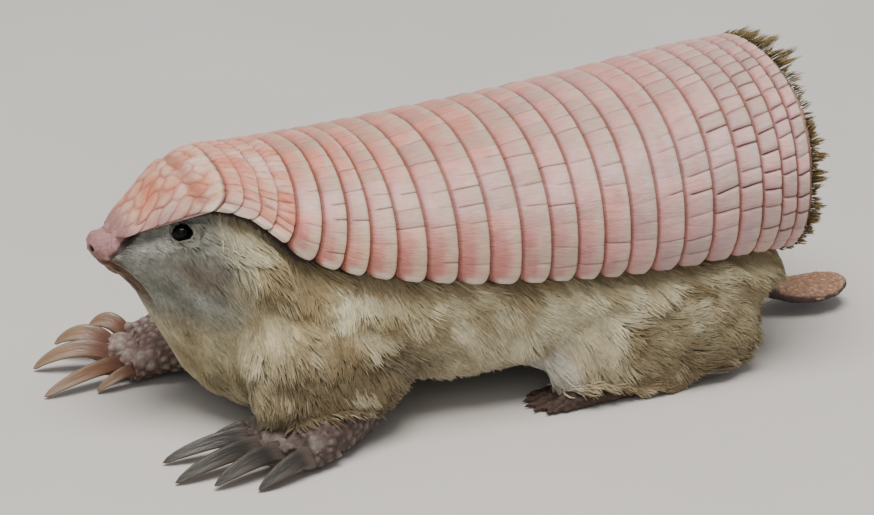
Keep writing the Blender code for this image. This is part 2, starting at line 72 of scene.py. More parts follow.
# Rows of the shell
GAP = 0.35
SHIELD_FRONT = 2.95
SHIELD_REAR = 18.6
SHIELD_CORNER = 15.9
FIRST_BAND = 24.6
SHELL_END = 106.6
BAND_COUNT = 20
NUCHAL_COUNT = 4
BAND_WIDTHS = (
    (0, 3.6), (2, 3.7), (3.5, 4.6), (7, 5.05), (9.5, 4.25), (13, 4.5), (14, 4.75), (16, 3.95),
    (18, 2.75), (19, 2.35),
)
CRACKED_FROM = 17.0  # number of the band from which every scute shows its outline
CRACK_SIDES = (-0.26, -0.11, 0.0, 0.11, 0.26)  # columns of the mesh beside a crack
TIP_COLUMNS = (0.0, 0.06, 0.16, 0.32, 0.55, 0.85)  # columns of the mesh near a row's lower end
BAND_INNER = 4  # columns of the mesh inside each scute
NUCHAL_INNER = 3
NUCHAL_SCUTE = 1.75
NUCHAL_STEP = 1.5  # how far one neck row lies behind the other where its length is measured

# Profile of a band from front to rear, then back underneath: (along, height)
BAND_PROFILE = (
    (-0.10, -0.85), (-0.03, -0.62), (0.03, -0.42), (0.09, -0.27), (0.17, -0.16), (0.28, -0.08),
    (0.42, -0.02), (0.56, 0.02), (0.70, 0.06), (0.80, 0.09), (0.88, 0.10), (0.94, 0.06), (0.98, -0.04),
    (1.0, -0.22), (0.985, -0.5), (0.9, -0.75), (0.45, -0.9), (0.0, -1.05),
)
OUTER_SAMPLES = 14
OUTER = np.arange(len(BAND_PROFILE)) < OUTER_SAMPLES

# Head shield
SHIELD_ROWS = np.arange(3.6, 18.4, 2.15)  # stations of the rows of scutes
SHIELD_SCUTE = 2.7
SHIELD_COLUMNS = 133
SHIELD_SAMPLES = 84
SHIELD_BACK = ((1.0, -0.35), (0.985, -0.7), (0.8, -0.9), (0.4, -0.9), (0.05, -0.8), (0.0, -0.4))  # underneath
CREASE_STATION = 13.6

# Rump plate and the bristles round it, whose tables go by half turns from the top
RUMP_BEHIND = ((0.0, 2.7), (0.25, 2.5), (0.6, 1.9), (0.92, 0.7), (1.0, 0.2))  # by share of the section
RUMP_WALLS = np.array((1.0, 0.85, 0.69, 0.53, 0.36, 0.18, -0.2))  # shares of the section between the rings
RUMP_SCUTES = np.array((31, 27, 22, 17, 11, 1))
RUMP_RADIUS = 20.0
RUMP_GIRTH = 118.0
RUMP_TONES = 40
RUMP_COLUMNS = 240
RUMP_SAMPLES = 56
RUMP_BACK = 8  # samples over its inner face
RUMP_DEPTH = 0.8
CENTRE = 0.002  # share of the section at the middle, where the rings of points end
FRINGE_THICKNESS = (
    (0.0, 1.0), (0.1, 0.9), (0.15, 0.3), (0.26, 0.3), (0.32, 0.9), (0.6, 0.8), (0.75, 0.4), (1.0, 0.4),
)
FRINGE_FLARE = ((0.0, 1.0), (0.12, 0.8), (0.25, 0.2), (0.45, 0.8), (0.75, 0.3), (1.0, 0.2))
FRINGE_REACH = ((0.0, 4.4), (0.12, 3.6), (0.22, 1.8), (0.4, 2.4), (0.55, 2.4), (0.75, 1.4), (1.0, 1.2))
BRISTLES = 4200

# Flesh nodes and the depth of the coat over each
COAT_DEPTH = {
    "head": 0.55, "neck": 1.1, "trunk": 1.35,
    "foreleg_left": 1.2, "foreleg_right": 1.2, "hindleg_left": 1.2, "hindleg_right": 1.2,
    "forefoot_left": 0.0, "forefoot_right": 0.0, "hindfoot_left": 0.0, "hindfoot_right": 0.0,
    "ear_left": 0.1, "ear_right": 0.1, "tail": 0.0,
}
FLESH = tuple(COAT_DEPTH)
FORELEGS = ("foreleg_left", "foreleg_right")
LIMBS = (*FORELEGS, "hindleg_left", "hindleg_right")
COATED = ("head", "neck", "trunk", *LIMBS)
CLOSING = 0.3  # how far the pieces of flesh are swollen so that they join
SAME_PLACE = 0.002
SKIN_LOW, CLAW_LOW, LOCK_LOW = 0.02, 0.03, 0.05  # least heights over the floor
VOXEL = 0.37

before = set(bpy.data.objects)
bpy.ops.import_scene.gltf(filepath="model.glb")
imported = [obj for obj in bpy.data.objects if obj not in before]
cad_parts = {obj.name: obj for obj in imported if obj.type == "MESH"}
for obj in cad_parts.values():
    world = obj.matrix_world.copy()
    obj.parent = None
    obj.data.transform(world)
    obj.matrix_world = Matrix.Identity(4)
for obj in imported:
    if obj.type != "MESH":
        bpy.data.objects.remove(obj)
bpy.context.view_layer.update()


# ---- measure of the animal


def middle(node):
    low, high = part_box(node)
    return (low + high) / 2


ORIGIN = np.array((middle("rump_plate").x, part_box("head")[0].y, 0.0)) / MM


def to_room(points):
    """Metres in the room, from the animal's measure."""
    return (points + ORIGIN) * MM


def to_animal(points):
    """The animal's measure, from metres in the room."""
    return np.asarray(points) / MM - ORIGIN


def node_points(node):
    """The node's own points in the animal's measure, each place once."""
    points = np.array([vertex.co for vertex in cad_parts[node].data.vertices])
    return np.unique(np.round(to_animal(points), 3), axis=0)


def smooth(table, at):
    """Values of a smooth monotone curve through the (place, value) pairs of the table."""
    places, values = np.array(table, float).T
    at = np.clip(at, places[0], places[-1])
    runs = np.diff(places)
    rises = np.diff(values) / runs
    slopes = np.concatenate((rises[:1], np.zeros(len(rises) - 1), rises[-1:]))
    before, after = rises[:-1], rises[1:]
    turning = before * after <= 0.0
    weight_a, weight_b = 2 * runs[1:] + runs[:-1], runs[1:] + 2 * runs[:-1]
    weights = weight_a / np.where(turning, 1.0, before) + weight_b / np.where(turning, 1.0, after)
    slopes[1:-1] = np.where(turning, 0.0, (weight_a + weight_b) / np.where(turning, 1.0, weights))
    i = np.clip(np.searchsorted(places, at, "right") - 1, 0, len(runs) - 1)
    u = (at - places[i]) / runs[i]
    return (
        (2 * u**3 - 3 * u**2 + 1) * values[i]
        + (u**3 - 2 * u**2 + u) * runs[i] * slopes[i]
        + (3 * u**2 - 2 * u**3) * values[i + 1]
        + (u**3 - u**2) * runs[i] * slopes[i + 1]
    )


def fade(value, start, end):
    """0 at start and before, 1 at end and after, smooth in between; end may be the smaller."""
    u = np.clip((value - start) / (end - start), 0.0, 1.0)
    return u * u * (3.0 - 2.0 * u)


def between(value, start, full, still_full, end):
    """0 outside start to end, 1 from full to still_full, smooth in between."""
    return fade(value, start, full) * fade(value, end, still_full)


def bell(value, centre, width):
    """1 at the centre, falling smoothly to near 0 two widths away."""
    return np.exp(-(((value - centre) / width) ** 2))


def share_of(value):
    """The value kept within 0 to 1."""
    return np.clip(value, 0.0, 1.0)


def mix(first, second, share):
    share = np.asarray(share, float)[..., None]
    return np.asarray(first, float) * (1.0 - share) + np.asarray(second, float) * share


def painted(tints, *layers):
    """The tints with each layer, a colour and its share, laid over them in turn."""
    for colour, share in layers:
        tints = mix(tints, colour, share)
    return tints


def stacked(*values):
    """The values side by side along a new last axis."""
    return np.stack(np.broadcast_arrays(*values), -1)


def mottle(points, size, seed, waves=9):
    """Smooth random values, about -1 to 1, in patches about size across."""
    source = np.random.default_rng(seed)
    total = 0.0
    for _ in range(waves):
        wave = source.normal(size=points.shape[-1])
        wave *= 2.0 * math.pi / size * source.uniform(0.5, 1.2) / np.linalg.norm(wave)
        total = total + np.sin(points @ wave + source.uniform(0.0, 2.0 * math.pi))
    return total / math.sqrt(waves)


def unit(vectors):
    return vectors / np.maximum(np.linalg.norm(vectors, axis=-1, keepdims=True), 1e-9)


def signed_power(value, power):
    return np.sign(value) * np.abs(value) ** power


def edge_angle(station):
    """Angle at which the shell's section reaches its lower edge."""
    top, widest, edge = smooth(TOP, station), smooth(WIDEST, station), smooth(EDGE, station)
    power = smooth(SQUARENESS, station) / 2.0
    above = np.arccos(share_of((edge - widest) / (top - widest)) ** power)
    tucked = share_of((widest - edge) / smooth(TUCK_DEPTH, station))
    return np.where(edge >= widest, above, math.pi / 2 + np.arcsin(tucked**power))


def shell_point(station, angle, outward, share=1.0):
    """Point of the shell's outer face, angle radians from the top and positive to the left, moved outward."""
    widest = smooth(WIDEST, station)
    power = 2.0 / smooth(SQUARENESS, station)
    rise = np.where(np.abs(angle) < math.pi / 2, smooth(TOP, station) - widest, smooth(TUCK_DEPTH, station))
    x = (smooth(HALF_WIDTH, station) + outward) * share * signed_power(np.sin(angle), power)
    z = widest + (rise + outward) * share * signed_power(np.cos(angle), power)
    return stacked(x, station, z)


def row_station(lower, across):
    """Station of a row at a place across it, 0 at the spine and 1 at the lower edge."""
    return lower + smooth(LEAN, lower) * (1.0 - np.abs(across) ** 1.5)


def shield_rear(across):
    return SHIELD_REAR - (SHIELD_REAR - SHIELD_CORNER) * np.abs(across) ** 4


def band_bounds():
    widths = smooth(BAND_WIDTHS, np.arange(BAND_COUNT))
    ends = FIRST_BAND + np.cumsum(widths) * (SHELL_END - FIRST_BAND) / widths.sum()
    return list(zip(np.concatenate(([FIRST_BAND], ends[:-1])), ends))


# ---- making pieces


def linear(colours):
    """Linear values of sRGB colours from 0 to 255."""
    share = np.clip(np.asarray(colours, float), 0.0, 255.0) / 255.0
    return np.where(share <= 0.04045, share / 12.92, ((share + 0.055) / 1.055) ** 2.4)


def volume_sign(points, triangles):
    a, b, c = (points[triangles[:, k]] for k in range(3))
    return np.sum(a * np.cross(b, c))


def add_piece(name, points, triangles, tints, finish, stands_for=(), maps=()):
    """Makes a mesh from points in the animal's measure; maps holds each map's name and the points' places."""
    points = points.reshape(-1, 3)
    if volume_sign(points - points.mean(0), triangles) < 0:
        triangles = triangles[:, ::-1]
    mesh = bpy.data.meshes.new(name)
    mesh.vertices.add(len(points))
    mesh.vertices.foreach_set("co", to_room(points).astype(np.float32).ravel())
    mesh.loops.add(triangles.size)
    mesh.loops.foreach_set("vertex_index", triangles.astype(np.int32).ravel())
    mesh.polygons.add(len(triangles))
    mesh.polygons.foreach_set("loop_start", np.arange(0, triangles.size, 3, dtype=np.int32))
    mesh.update(calc_edges=True)
    colours = np.ones((len(points), 4), np.float32)
    colours[:, :3] = linear(tints).reshape(-1, 3)
    mesh.color_attributes.new("tint", "FLOAT_COLOR", "POINT").data.foreach_set("color", colours.ravel())
    for map_name, places in maps:
        corners = places.reshape(-1, 2)[triangles.ravel()].astype(np.float32)
        mesh.uv_layers.new(name=map_name).data.foreach_set("uv", corners.ravel())
    mesh.shade_smooth()
    mesh.materials.append(FINISHES[finish])
    piece = bpy.data.objects.new(name, mesh)
    bpy.context.scene.collection.objects.link(piece)
    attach(piece, "root")
    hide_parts(*stands_for)
    return piece


def strip_triangles(columns, samples, ring=False):
    """Triangles of a tube whose columns are loops of samples; its ends are capped unless it is a ring."""
    c, s = np.meshgrid(np.arange(columns if ring else columns - 1), np.arange(samples), indexing="ij")
    c, s = c.ravel(), s.ravel()
    after, beside = (c + 1) % columns, (s + 1) % samples
    corners = [c * samples + s, c * samples + beside, after * samples + beside, after * samples + s]
    halves = [np.stack(corners[:3], 1), np.stack((corners[0], corners[2], corners[3]), 1)]
    if not ring:
        fan = np.arange(1, samples - 1)
        cap = np.stack((0 * fan, fan + 1, fan), 1)
        halves += [cap, cap[:, ::-1] + (columns - 1) * samples]
    return np.concatenate(halves)


def add_strip(name, node, points, tints, finish, relief, ring=False):
    """Makes a piece of columns of points, with the places of its relief, and puts it in the node's place."""
    triangles = strip_triangles(*points.shape[:2], ring)
    add_piece(name, points, triangles, tints, finish, [node], [("relief", relief)])


# ---- materials


class Tree:
    """A material whose colour is the mesh's own tint, broken up by noise, over a bumped surface."""

    def __init__(self, name, roughness, **constants):
        self.material = bpy.data.materials.new(name)
        self.material.use_nodes = True
        self.nodes = self.material.node_tree.nodes
        self.surface = self.nodes["Principled BSDF"]
        self.surface.inputs["Roughness"].default_value = roughness
        for socket, value in constants.items():
            self.surface.inputs[socket.replace("_", " ")].default_value = value

    def join(self, source, target):
        self.material.node_tree.links.new(source, target)

    def add(self, kind, sockets=(), **settings):
        """A new node with its settings, and its sockets' constants as (name, value)."""
        node = self.nodes.new(kind)
        for key, value in settings.items():
            setattr(node, key, value)
        for key, value in sockets:
            node.inputs[key].default_value = value
        return node

    def places(self, map_name="", stretch=(1.0, 1.0, 1.0)):
        """Coordinates in millimetres, from the object or from one of its maps, divided by stretch."""
        if map_name:
            source = self.add("ShaderNodeUVMap", uv_map=map_name).outputs["UV"]
            scale = 1.0
        else:
            source = self.add("ShaderNodeTexCoord").outputs["Object"]
            scale = 1.0 / MM
        mapping = self.add("ShaderNodeMapping", [("Scale", [scale / s for s in stretch])])
        self.join(source, mapping.inputs["Vector"])
        return mapping.outputs["Vector"]

    def noise(self, places, size):
        node = self.add("ShaderNodeTexNoise", [("Scale", 1.0 / size), ("Detail", 3.0)])
        self.join(places, node.inputs["Vector"])
        return node.outputs["Fac"]

    def spread(self, source, low, high):
        """Turns a noise, which is mostly 0.3 to 0.7, into values from low to high."""
        limits = [("From Min", 0.3), ("From Max", 0.7), ("To Min", low), ("To Max", high)]
        node = self.add("ShaderNodeMapRange", limits)
        self.join(source, node.inputs["Value"])
        return node.outputs["Result"]

    def colour(self, colour, factors):
        """Base colour: the colour times each factor."""
        for factor in factors:
            scaled = self.add("ShaderNodeVectorMath", operation="SCALE")
            self.join(colour, scaled.inputs[0])
            self.join(factor, scaled.inputs["Scale"])
            colour = scaled.outputs["Vector"]
        self.join(colour, self.surface.inputs["Base Color"])

    def bump(self, heights, depth):
        """Bumps of the depth in millimetres, one on another."""
        normal = None
        for height in heights:
            node = self.add("ShaderNodeBump", [("Distance", depth * MM)])
            self.join(height, node.inputs["Height"])
            if normal:
                self.join(normal, node.inputs["Normal"])
            normal = node.outputs["Normal"]
        self.join(normal, self.surface.inputs["Normal"])


BLOTCH = 6.0  # size of the blotches on every finish


def make_finish(name, roughness, speckle, grain, map_name="", stretch=(1.0, 1.0, 1.0), **constants):
    """A finish with blotches, a finer speckle (size, amount) and a bumped grain (size, depth)."""
    tree = Tree(name, roughness, **constants)
    even = tree.places(map_name)
    drawn = tree.places(map_name, stretch)
    speckles = tree.noise(drawn, speckle[0])
    tint = tree.add("ShaderNodeAttribute", attribute_name="tint").outputs["Color"]
    tree.colour(tint, [
        tree.spread(tree.noise(even, BLOTCH), 1.0 - speckle[1] / 2, 1.0 + speckle[1] / 2),
        tree.spread(speckles, 1.0 - speckle[1], 1.0 + speckle[1]),
    ])
    tree.bump([speckles, tree.noise(drawn, grain[0])], grain[1])
    return tree.material


HORN = {"Subsurface_Weight": 0.12, "Subsurface_Scale": 0.0012}
FINISHES = {
    "scutes": make_finish(
        "scute_horn", 0.46, (0.55, 0.10), (0.22, 0.10), "relief", (1.0, 4.0, 1.0),
        Specular_IOR_Level=0.42, **HORN
    ),
    "shield": make_finish(
        "shield_horn", 0.5, (0.7, 0.12), (0.25, 0.12), "relief", (1.0, 1.6, 1.0),
        Specular_IOR_Level=0.4, **HORN
    ),
    "skin": make_finish("bare_skin", 0.6, (0.5, 0.16), (0.2, 0.14), Specular_IOR_Level=0.35),
    "coat": make_finish(
        "woolly_fur", 0.85, (0.8, 0.14), (0.25, 0.08), Specular_IOR_Level=0.15, Sheen_Weight=0.25
    ),
    "bristle": make_finish("bristles", 0.75, (0.8, 0.2), (0.3, 0.05), Specular_IOR_Level=0.2),
    "claw": make_finish(
        "claw_horn", 0.38, (0.6, 0.14), (0.25, 0.07), "relief", (1.0, 7.0, 1.0), Specular_IOR_Level=0.5
    ),
    "eye": make_finish("eye", 0.12, (0.5, 0.1), (0.4, 0.001), Specular_IOR_Level=0.14),
}


# ---- shell


FURROW = (184, 98, 86)
FURROW_SHADOW = (124, 72, 62)
PINK = (212, 142, 132)
SALMON = (212, 124, 102)
HIGH_SALMON = (222, 140, 112)
DEEP_SALMON = (178, 94, 82)
ROSE = (226, 150, 126)
CREAM_PINK = (216, 166, 144)
CREAM = (213, 182, 154)
REAR_CREAM = (204, 180, 152)
PALE_PINK = (232, 200, 200)
WHITE_TAB = (222, 208, 186)
GREY_PURPLE = (158, 130, 134)
LILAC = (200, 178, 184)
TAN = (188, 158, 130)
BUFF = (204, 168, 134)
SAND = (194, 172, 144)
LOW_SAND = (196, 162, 130)
CRACK = (84, 52, 50)
REAR_EDGE_SHADOW = (120, 82, 66)
NOSE_PINK = (162, 120, 117)
NECK_RED = (192, 122, 104)
NECK_PINK = (212, 154, 130)
NECK_CREAM = (214, 178, 150)
NECK_SALMON = (212, 120, 94)
NECK_PALE = (222, 194, 182)
NECK_GREY = (200, 172, 162)
NECK_CRACK = (140, 84, 72)
SHIELD_PINK = (202, 142, 118)
SHIELD_CREAM = (214, 170, 142)
SHIELD_SALMON = (214, 122, 90)
SHIELD_PALE = (218, 188, 170)
MUZZLE_MAUVE = (196, 152, 148)
GROOVE_BROWN = (156, 92, 76)
CREASE_BROWN = (150, 88, 70)
COLLAR_CREAM_AND_HIGHLIGHT = (220, 190, 166)
CORNER_HIGHLIGHT = (236, 220, 202)
RIM_SHADOW = (110, 76, 66)
RIM_GREY = (150, 120, 118)
RUMP_PINK = (198, 146, 128)
RUMP_CREAM = (216, 186, 162)
RUMP_SALMON = (206, 134, 116)
RUMP_GREY = (196, 170, 164)
RUMP_GROOVE = (112, 78, 68)
RUMP_RIM = (110, 84, 70)

ARC_SAMPLES = 200
BAND_SEED = 100
NUCHAL_SEED = 60
SHIELD_SEED = 41
RUMP_SEED = 77


def half_arc(lower):
    """Places across a row, 0 to 1, and the length of the arc from the spine to each."""
    across = np.linspace(0.0, 1.0, ARC_SAMPLES)
    station = row_station(lower, across)
    points = shell_point(station, across * edge_angle(station), 0.0)
    steps = np.linalg.norm(np.diff(points, axis=0), axis=1)
    return across, np.concatenate(([0.0], np.cumsum(steps)))


def scute_columns(length, spacing, source, inner_count):
    """Columns of a row of scutes: arc from the spine, number of the nearest crack, offset from it, scute,
    share of the scute, and how far each crack slants; and the count of scutes."""
    count = int(round(2.0 * length / spacing))
    cracks = -length + 2.0 * length * (np.arange(1, count) + source.uniform(-0.16, 0.16, count - 1)) / count
    walls = np.concatenate(([-length], cracks, [length]))
    inner = np.linspace(0.0, 1.0, inner_count + 2)[1:-1]
    tip = np.array(TIP_COLUMNS)
    arcs = (
        cracks[:, None] + np.array(CRACK_SIDES),
        walls[:-1, None] + 0.3 + (np.diff(walls)[:, None] - 0.6) * inner,
        length - tip,
        tip - length,
    )
    arc = np.unique(np.round(np.concatenate([part.ravel() for part in arcs]), 3))
    nearest = np.abs(arc[:, None] - cracks).argmin(1)
    scute = np.clip(np.searchsorted(walls, arc, "right") - 1, 0, count - 1)
    share = (arc - walls[scute]) / (walls[scute + 1] - walls[scute]) * 2.0 - 1.0
    slant = np.interp(arc, cracks, source.uniform(-0.28, 0.28, count - 1))
    offset = arc - cracks[nearest]
    return arc, nearest[:, None], offset[:, None], scute[:, None], share[:, None], slant, count


def row_grid(arc, slant, spread, lengths):
    """For each point of a row: its share along, height, arc, place across and distance from the lower end."""
    along, height = (np.tile(row, (len(arc), 1)) for row in np.array(BAND_PROFILE).T)
    arc = np.clip(arc[:, None] + slant[:, None] * (along - 0.5), -lengths[-1], lengths[-1])
    across = np.sign(arc) * np.interp(np.abs(arc), lengths, spread)
    return along, height, arc, across, lengths[-1] - np.abs(arc)


def rounded(along, across, roundness, reach):
    """Narrows a band towards its middle near its lower end, so that the end is a rounded tab."""
    into_tab = share_of((np.abs(across) - (1.0 - reach)) / reach)
    width = 1.0 - roundness * (1.0 - np.sqrt(1.0 - into_tab**2))
    return 0.5 + (along - 0.5) * width


def row_tones(source, count, scute, along):
    """A random tone for each scute of a row, at each point."""
    return source.normal(0.0, 1.0, count)[scute] * np.ones_like(along)


def band_tints(number, along, across, end, tone, points):
    """Colours over a band: salmon in the furrow, deepened there by painted shade, cream at the rear edge,
    paler tabs or greyer below, a painted highlight along the side and painted shadow lines at the front and
    rear edges.
    """
    patches = mottle(points, 16.0, 3) * 0.5 + mottle(points, 5.0, 4) * 0.3
    border = along + 0.05 * mottle(points, 3.0, 7)
    wide = np.abs(across)
    high = fade(wide, 0.5, 0.25) * fade(number, 18.0, 14.0) * fade(border, 0.85, 0.5)
    lit = bell(wide - 0.5 + 0.08 * patches, 0.0, 0.15)
    low = fade(wide, 0.55, 0.88)
    early, late = low * fade(number, 17.0, 11.0), low * fade(number, 8.0, 17.0)
    warm = share_of(patches * 1.1 + 0.1 * tone) * (1.0 - 0.6 * low)
    tab = fade(end, 1.7, 0.6) * (1.0 - fade(number, 10.0, 14.0)) * fade(along, 0.05, 0.3)
    tints = painted(
        # salmon in the furrow at the front: partly the shell's own colour, partly painted shade where the
        # band runs under the one before
        mix(FURROW, PINK, fade(border, 0.06, 0.3)),
        (CREAM_PINK, fade(border, 0.3, 0.6)),
        (CREAM, fade(border, 0.56, 0.8) * (0.8 + 0.2 * patches)),
        (HIGH_SALMON, np.clip(high * (0.4 + 0.6 * patches), 0.0, 0.8)),
        # pale pink along the middle of the side: partly the shell's own paleness, partly a painted highlight
        (PALE_PINK, np.clip(lit * (0.55 + 0.5 * patches + 0.12 * tone), 0.0, 0.9)),
        (DEEP_SALMON, early * fade(border, 0.68, 0.36) * (0.72 + 0.3 * patches)),
        (LOW_SAND, early * fade(border, 0.5, 0.72) * 0.75),
        (GREY_PURPLE, late * (0.76 + 0.2 * patches) * fade(along, 0.02, 0.3)),
        (TAN, late * 0.45 * fade(along, 0.5, 0.9)),
        (SALMON, warm * 0.7 * fade(border, 0.95, 0.6)),
        (BUFF, share_of(-patches) * 0.4),
        (ROSE, share_of(tone - 0.2) * 0.3),
        (SAND, share_of(-tone - 0.2) * 0.35),
        (WHITE_TAB, tab * 0.9),
        (REAR_CREAM, fade(border, 0.62, 0.86) * 0.45),
        (LILAC, 0.08 + 0.3 * fade(number, 2.0, 15.0)),
        # painted shadow: a dark line along the front, where the band runs under the one before
        (FURROW_SHADOW, fade(along, 0.085, 0.03) * 0.5),
        # painted shadow along the rolled-under rear edge
        (REAR_EDGE_SHADOW, fade(along, 0.95, 1.0) * 0.7),
    )
    return tints * (0.955 + 0.025 * tone[..., None])


def add_band(number, front, rear):
    """A band of the shell; the last ones show each scute as a pillow with open cracks round it."""
    source = np.random.default_rng(BAND_SEED + number)
    spread, lengths = half_arc((front + rear) / 2)
    spacing = 2.6 + 0.6 * fade(number, 1.0, 12.0) - 0.35 * fade(number, 16.0, 20.0)
    arc, nearest, offset, scute, share, slant, count = scute_columns(lengths[-1], spacing, source, BAND_INNER)
    cracked = fade(number, CRACKED_FROM - 4.0, CRACKED_FROM)
    slant = slant - (0.25 + 0.4 * cracked) * np.tanh(arc / 8.0)
    slant = slant * fade(lengths[-1] - np.abs(arc), 0.6, 3.0)
    along, height, arc, across, end = row_grid(arc, slant, spread, lengths)
    lowest = 0.66 + 0.09 * max(number - CRACKED_FROM, 0.0)
    strength = source.uniform(0.0, 1.0, count - 1) ** (1.5 - 1.1 * cracked)
    worn_low = 0.85 * cracked * fade(np.abs(across), lowest, lowest + 0.12)
    strength = strength[nearest] * (1.0 - worn_low)
    start = source.uniform(-0.3, 0.45, count - 1)[nearest] * (1.0 - cracked)
    opened = fade(along, start, start + 0.15) * bell(offset, 0.0, 0.09 + 0.05 * cracked)
    crack = strength * opened * (1.12 - 0.4 * cracked * along)
    pillow = (1.0 - np.abs(share) ** 4) * fade(along, 0.0, 0.25) * (0.04 + 0.11 * cracked)
    worn = 0.03 * mottle(stacked(arc, along * 4.0), 2.4, 200 + number)
    rolled = 0.4 * (1.0 - np.sqrt(1.0 - share_of(1.0 - end / 0.5) ** 2))
    height = height + OUTER * (pillow + worn - crack * (0.16 + 0.2 * cracked) - rolled)
    roundness = 0.6 - 0.3 * fade(number, 12.0, 17.0)
    lower = front + GAP / 2 + (rear - front - GAP) * rounded(along, across, roundness, 0.12)
    station = row_station(lower, across)
    points = shell_point(station, across * edge_angle(station), height)
    tone = np.clip(row_tones(source, count, scute, along), -1.6, 1.6)
    tints = band_tints(number, along, across, end, tone, points)
    tints = mix(tints, CRACK, np.clip(crack * (0.75 + 0.35 * cracked), 0.0, 0.95))
    name = f"band_{number:02d}"
    add_strip("scutes_" + name, name, points, tints, "scutes", stacked(arc, station))


def add_nuchal_row(number):
    """A row of small bulging scutes over the neck."""
    source = np.random.default_rng(NUCHAL_SEED + number)
    spread, lengths = half_arc(SHIELD_REAR + NUCHAL_STEP * number)
    columns = scute_columns(lengths[-1], NUCHAL_SCUTE, source, NUCHAL_INNER)
    arc, nearest, offset, scute, share, slant, count = columns
    along, height, arc, across, end = row_grid(arc, slant, spread, lengths)
    crack = bell(offset, 0.0, 0.13) * source.uniform(0.3, 1.0, count - 1)[nearest]
    bulge = source.uniform(0.0, 0.3, count)[scute] * (1.0 - share**2)
    bulge = bulge * np.sin(math.pi * share_of(along)) ** 0.7
    front = shield_rear(across) + GAP / 2
    rear = row_station(FIRST_BAND, across) - GAP / 2
    border = [
        row / NUCHAL_COUNT + 0.012 * mottle(arc[..., None], 9.0, 80 + row) * (0 < row < NUCHAL_COUNT)
        for row in (number - 1, number)
    ]
    inner = rounded(along, across, 0.4, 0.09)
    station = front + (rear - front) * (border[0] + (border[1] - border[0]) * inner)
    bumps = mottle(stacked(arc, station), 1.6, 90)
    height = np.where(OUTER, 0.42 * height + 0.09 * bumps + bulge - 0.16 * crack, height)
    points = shell_point(station, across * edge_angle(station), height)
    tone = row_tones(source, count, scute, along)
    patches = np.clip(0.35 * tone + 0.5 * mottle(points, 3.5, 9), -1.0, 1.0)
    tints = painted(
        mix(NECK_RED, NECK_PINK, fade(along, 0.0, 0.4)),
        (NECK_CREAM, fade(along, 0.4, 0.85) * 0.6),
        (NECK_SALMON, share_of(patches) * 0.7),
        (NECK_PALE, share_of(-patches) * 0.75),
        (NECK_GREY, fade(np.abs(across), 0.55, 0.85) * fade(station, 24.0, 19.0) * 0.7),
        (WHITE_TAB, fade(end, 1.8, 0.5) * 0.6),
        (NECK_CRACK, np.clip(crack * 0.7, 0.0, 0.8)),
        # painted shadow: a dark line along the front, where the row runs under the one before
        (FURROW_SHADOW, fade(along, 0.09, 0.03) * 0.3),
        # painted shadow along the rolled-under rear edge
        (REAR_EDGE_SHADOW, fade(along, 0.95, 1.0) * 0.5),
    )
    relief = stacked(arc, station)
    add_strip(f"scutes_nuchal_{number}", f"nuchal_row_{number}", points, tints, "scutes", relief)


def shield_seeds(source):
    """Middles of the head shield's scutes, as (side, station) on the flat."""
    seeds = []
    for row, station in enumerate(SHIELD_ROWS):
        half = float(smooth(HALF_WIDTH, station)) * 1.25
        count = max(3, int(round(2.0 * half / SHIELD_SCUTE)) // 2 * 2 + row % 2)
        for side in np.linspace(-1.0, 1.0, count):
            seeds.append((side * half + source.normal(0.0, 0.25), station + source.normal(0.0, 0.3)))
    return np.array(seeds)


def cell_pattern(places, seeds):
    """Nearest seed of each place, and how far the place is inside that seed's cell."""
    distances = np.linalg.norm(places[..., None, :] - seeds, axis=-1)
    order = np.argpartition(distances, 1, axis=-1)[..., :2]
    near = np.take_along_axis(distances, order, -1)
    return order[..., 0], (near[..., 1] - near[..., 0]) / 2.0


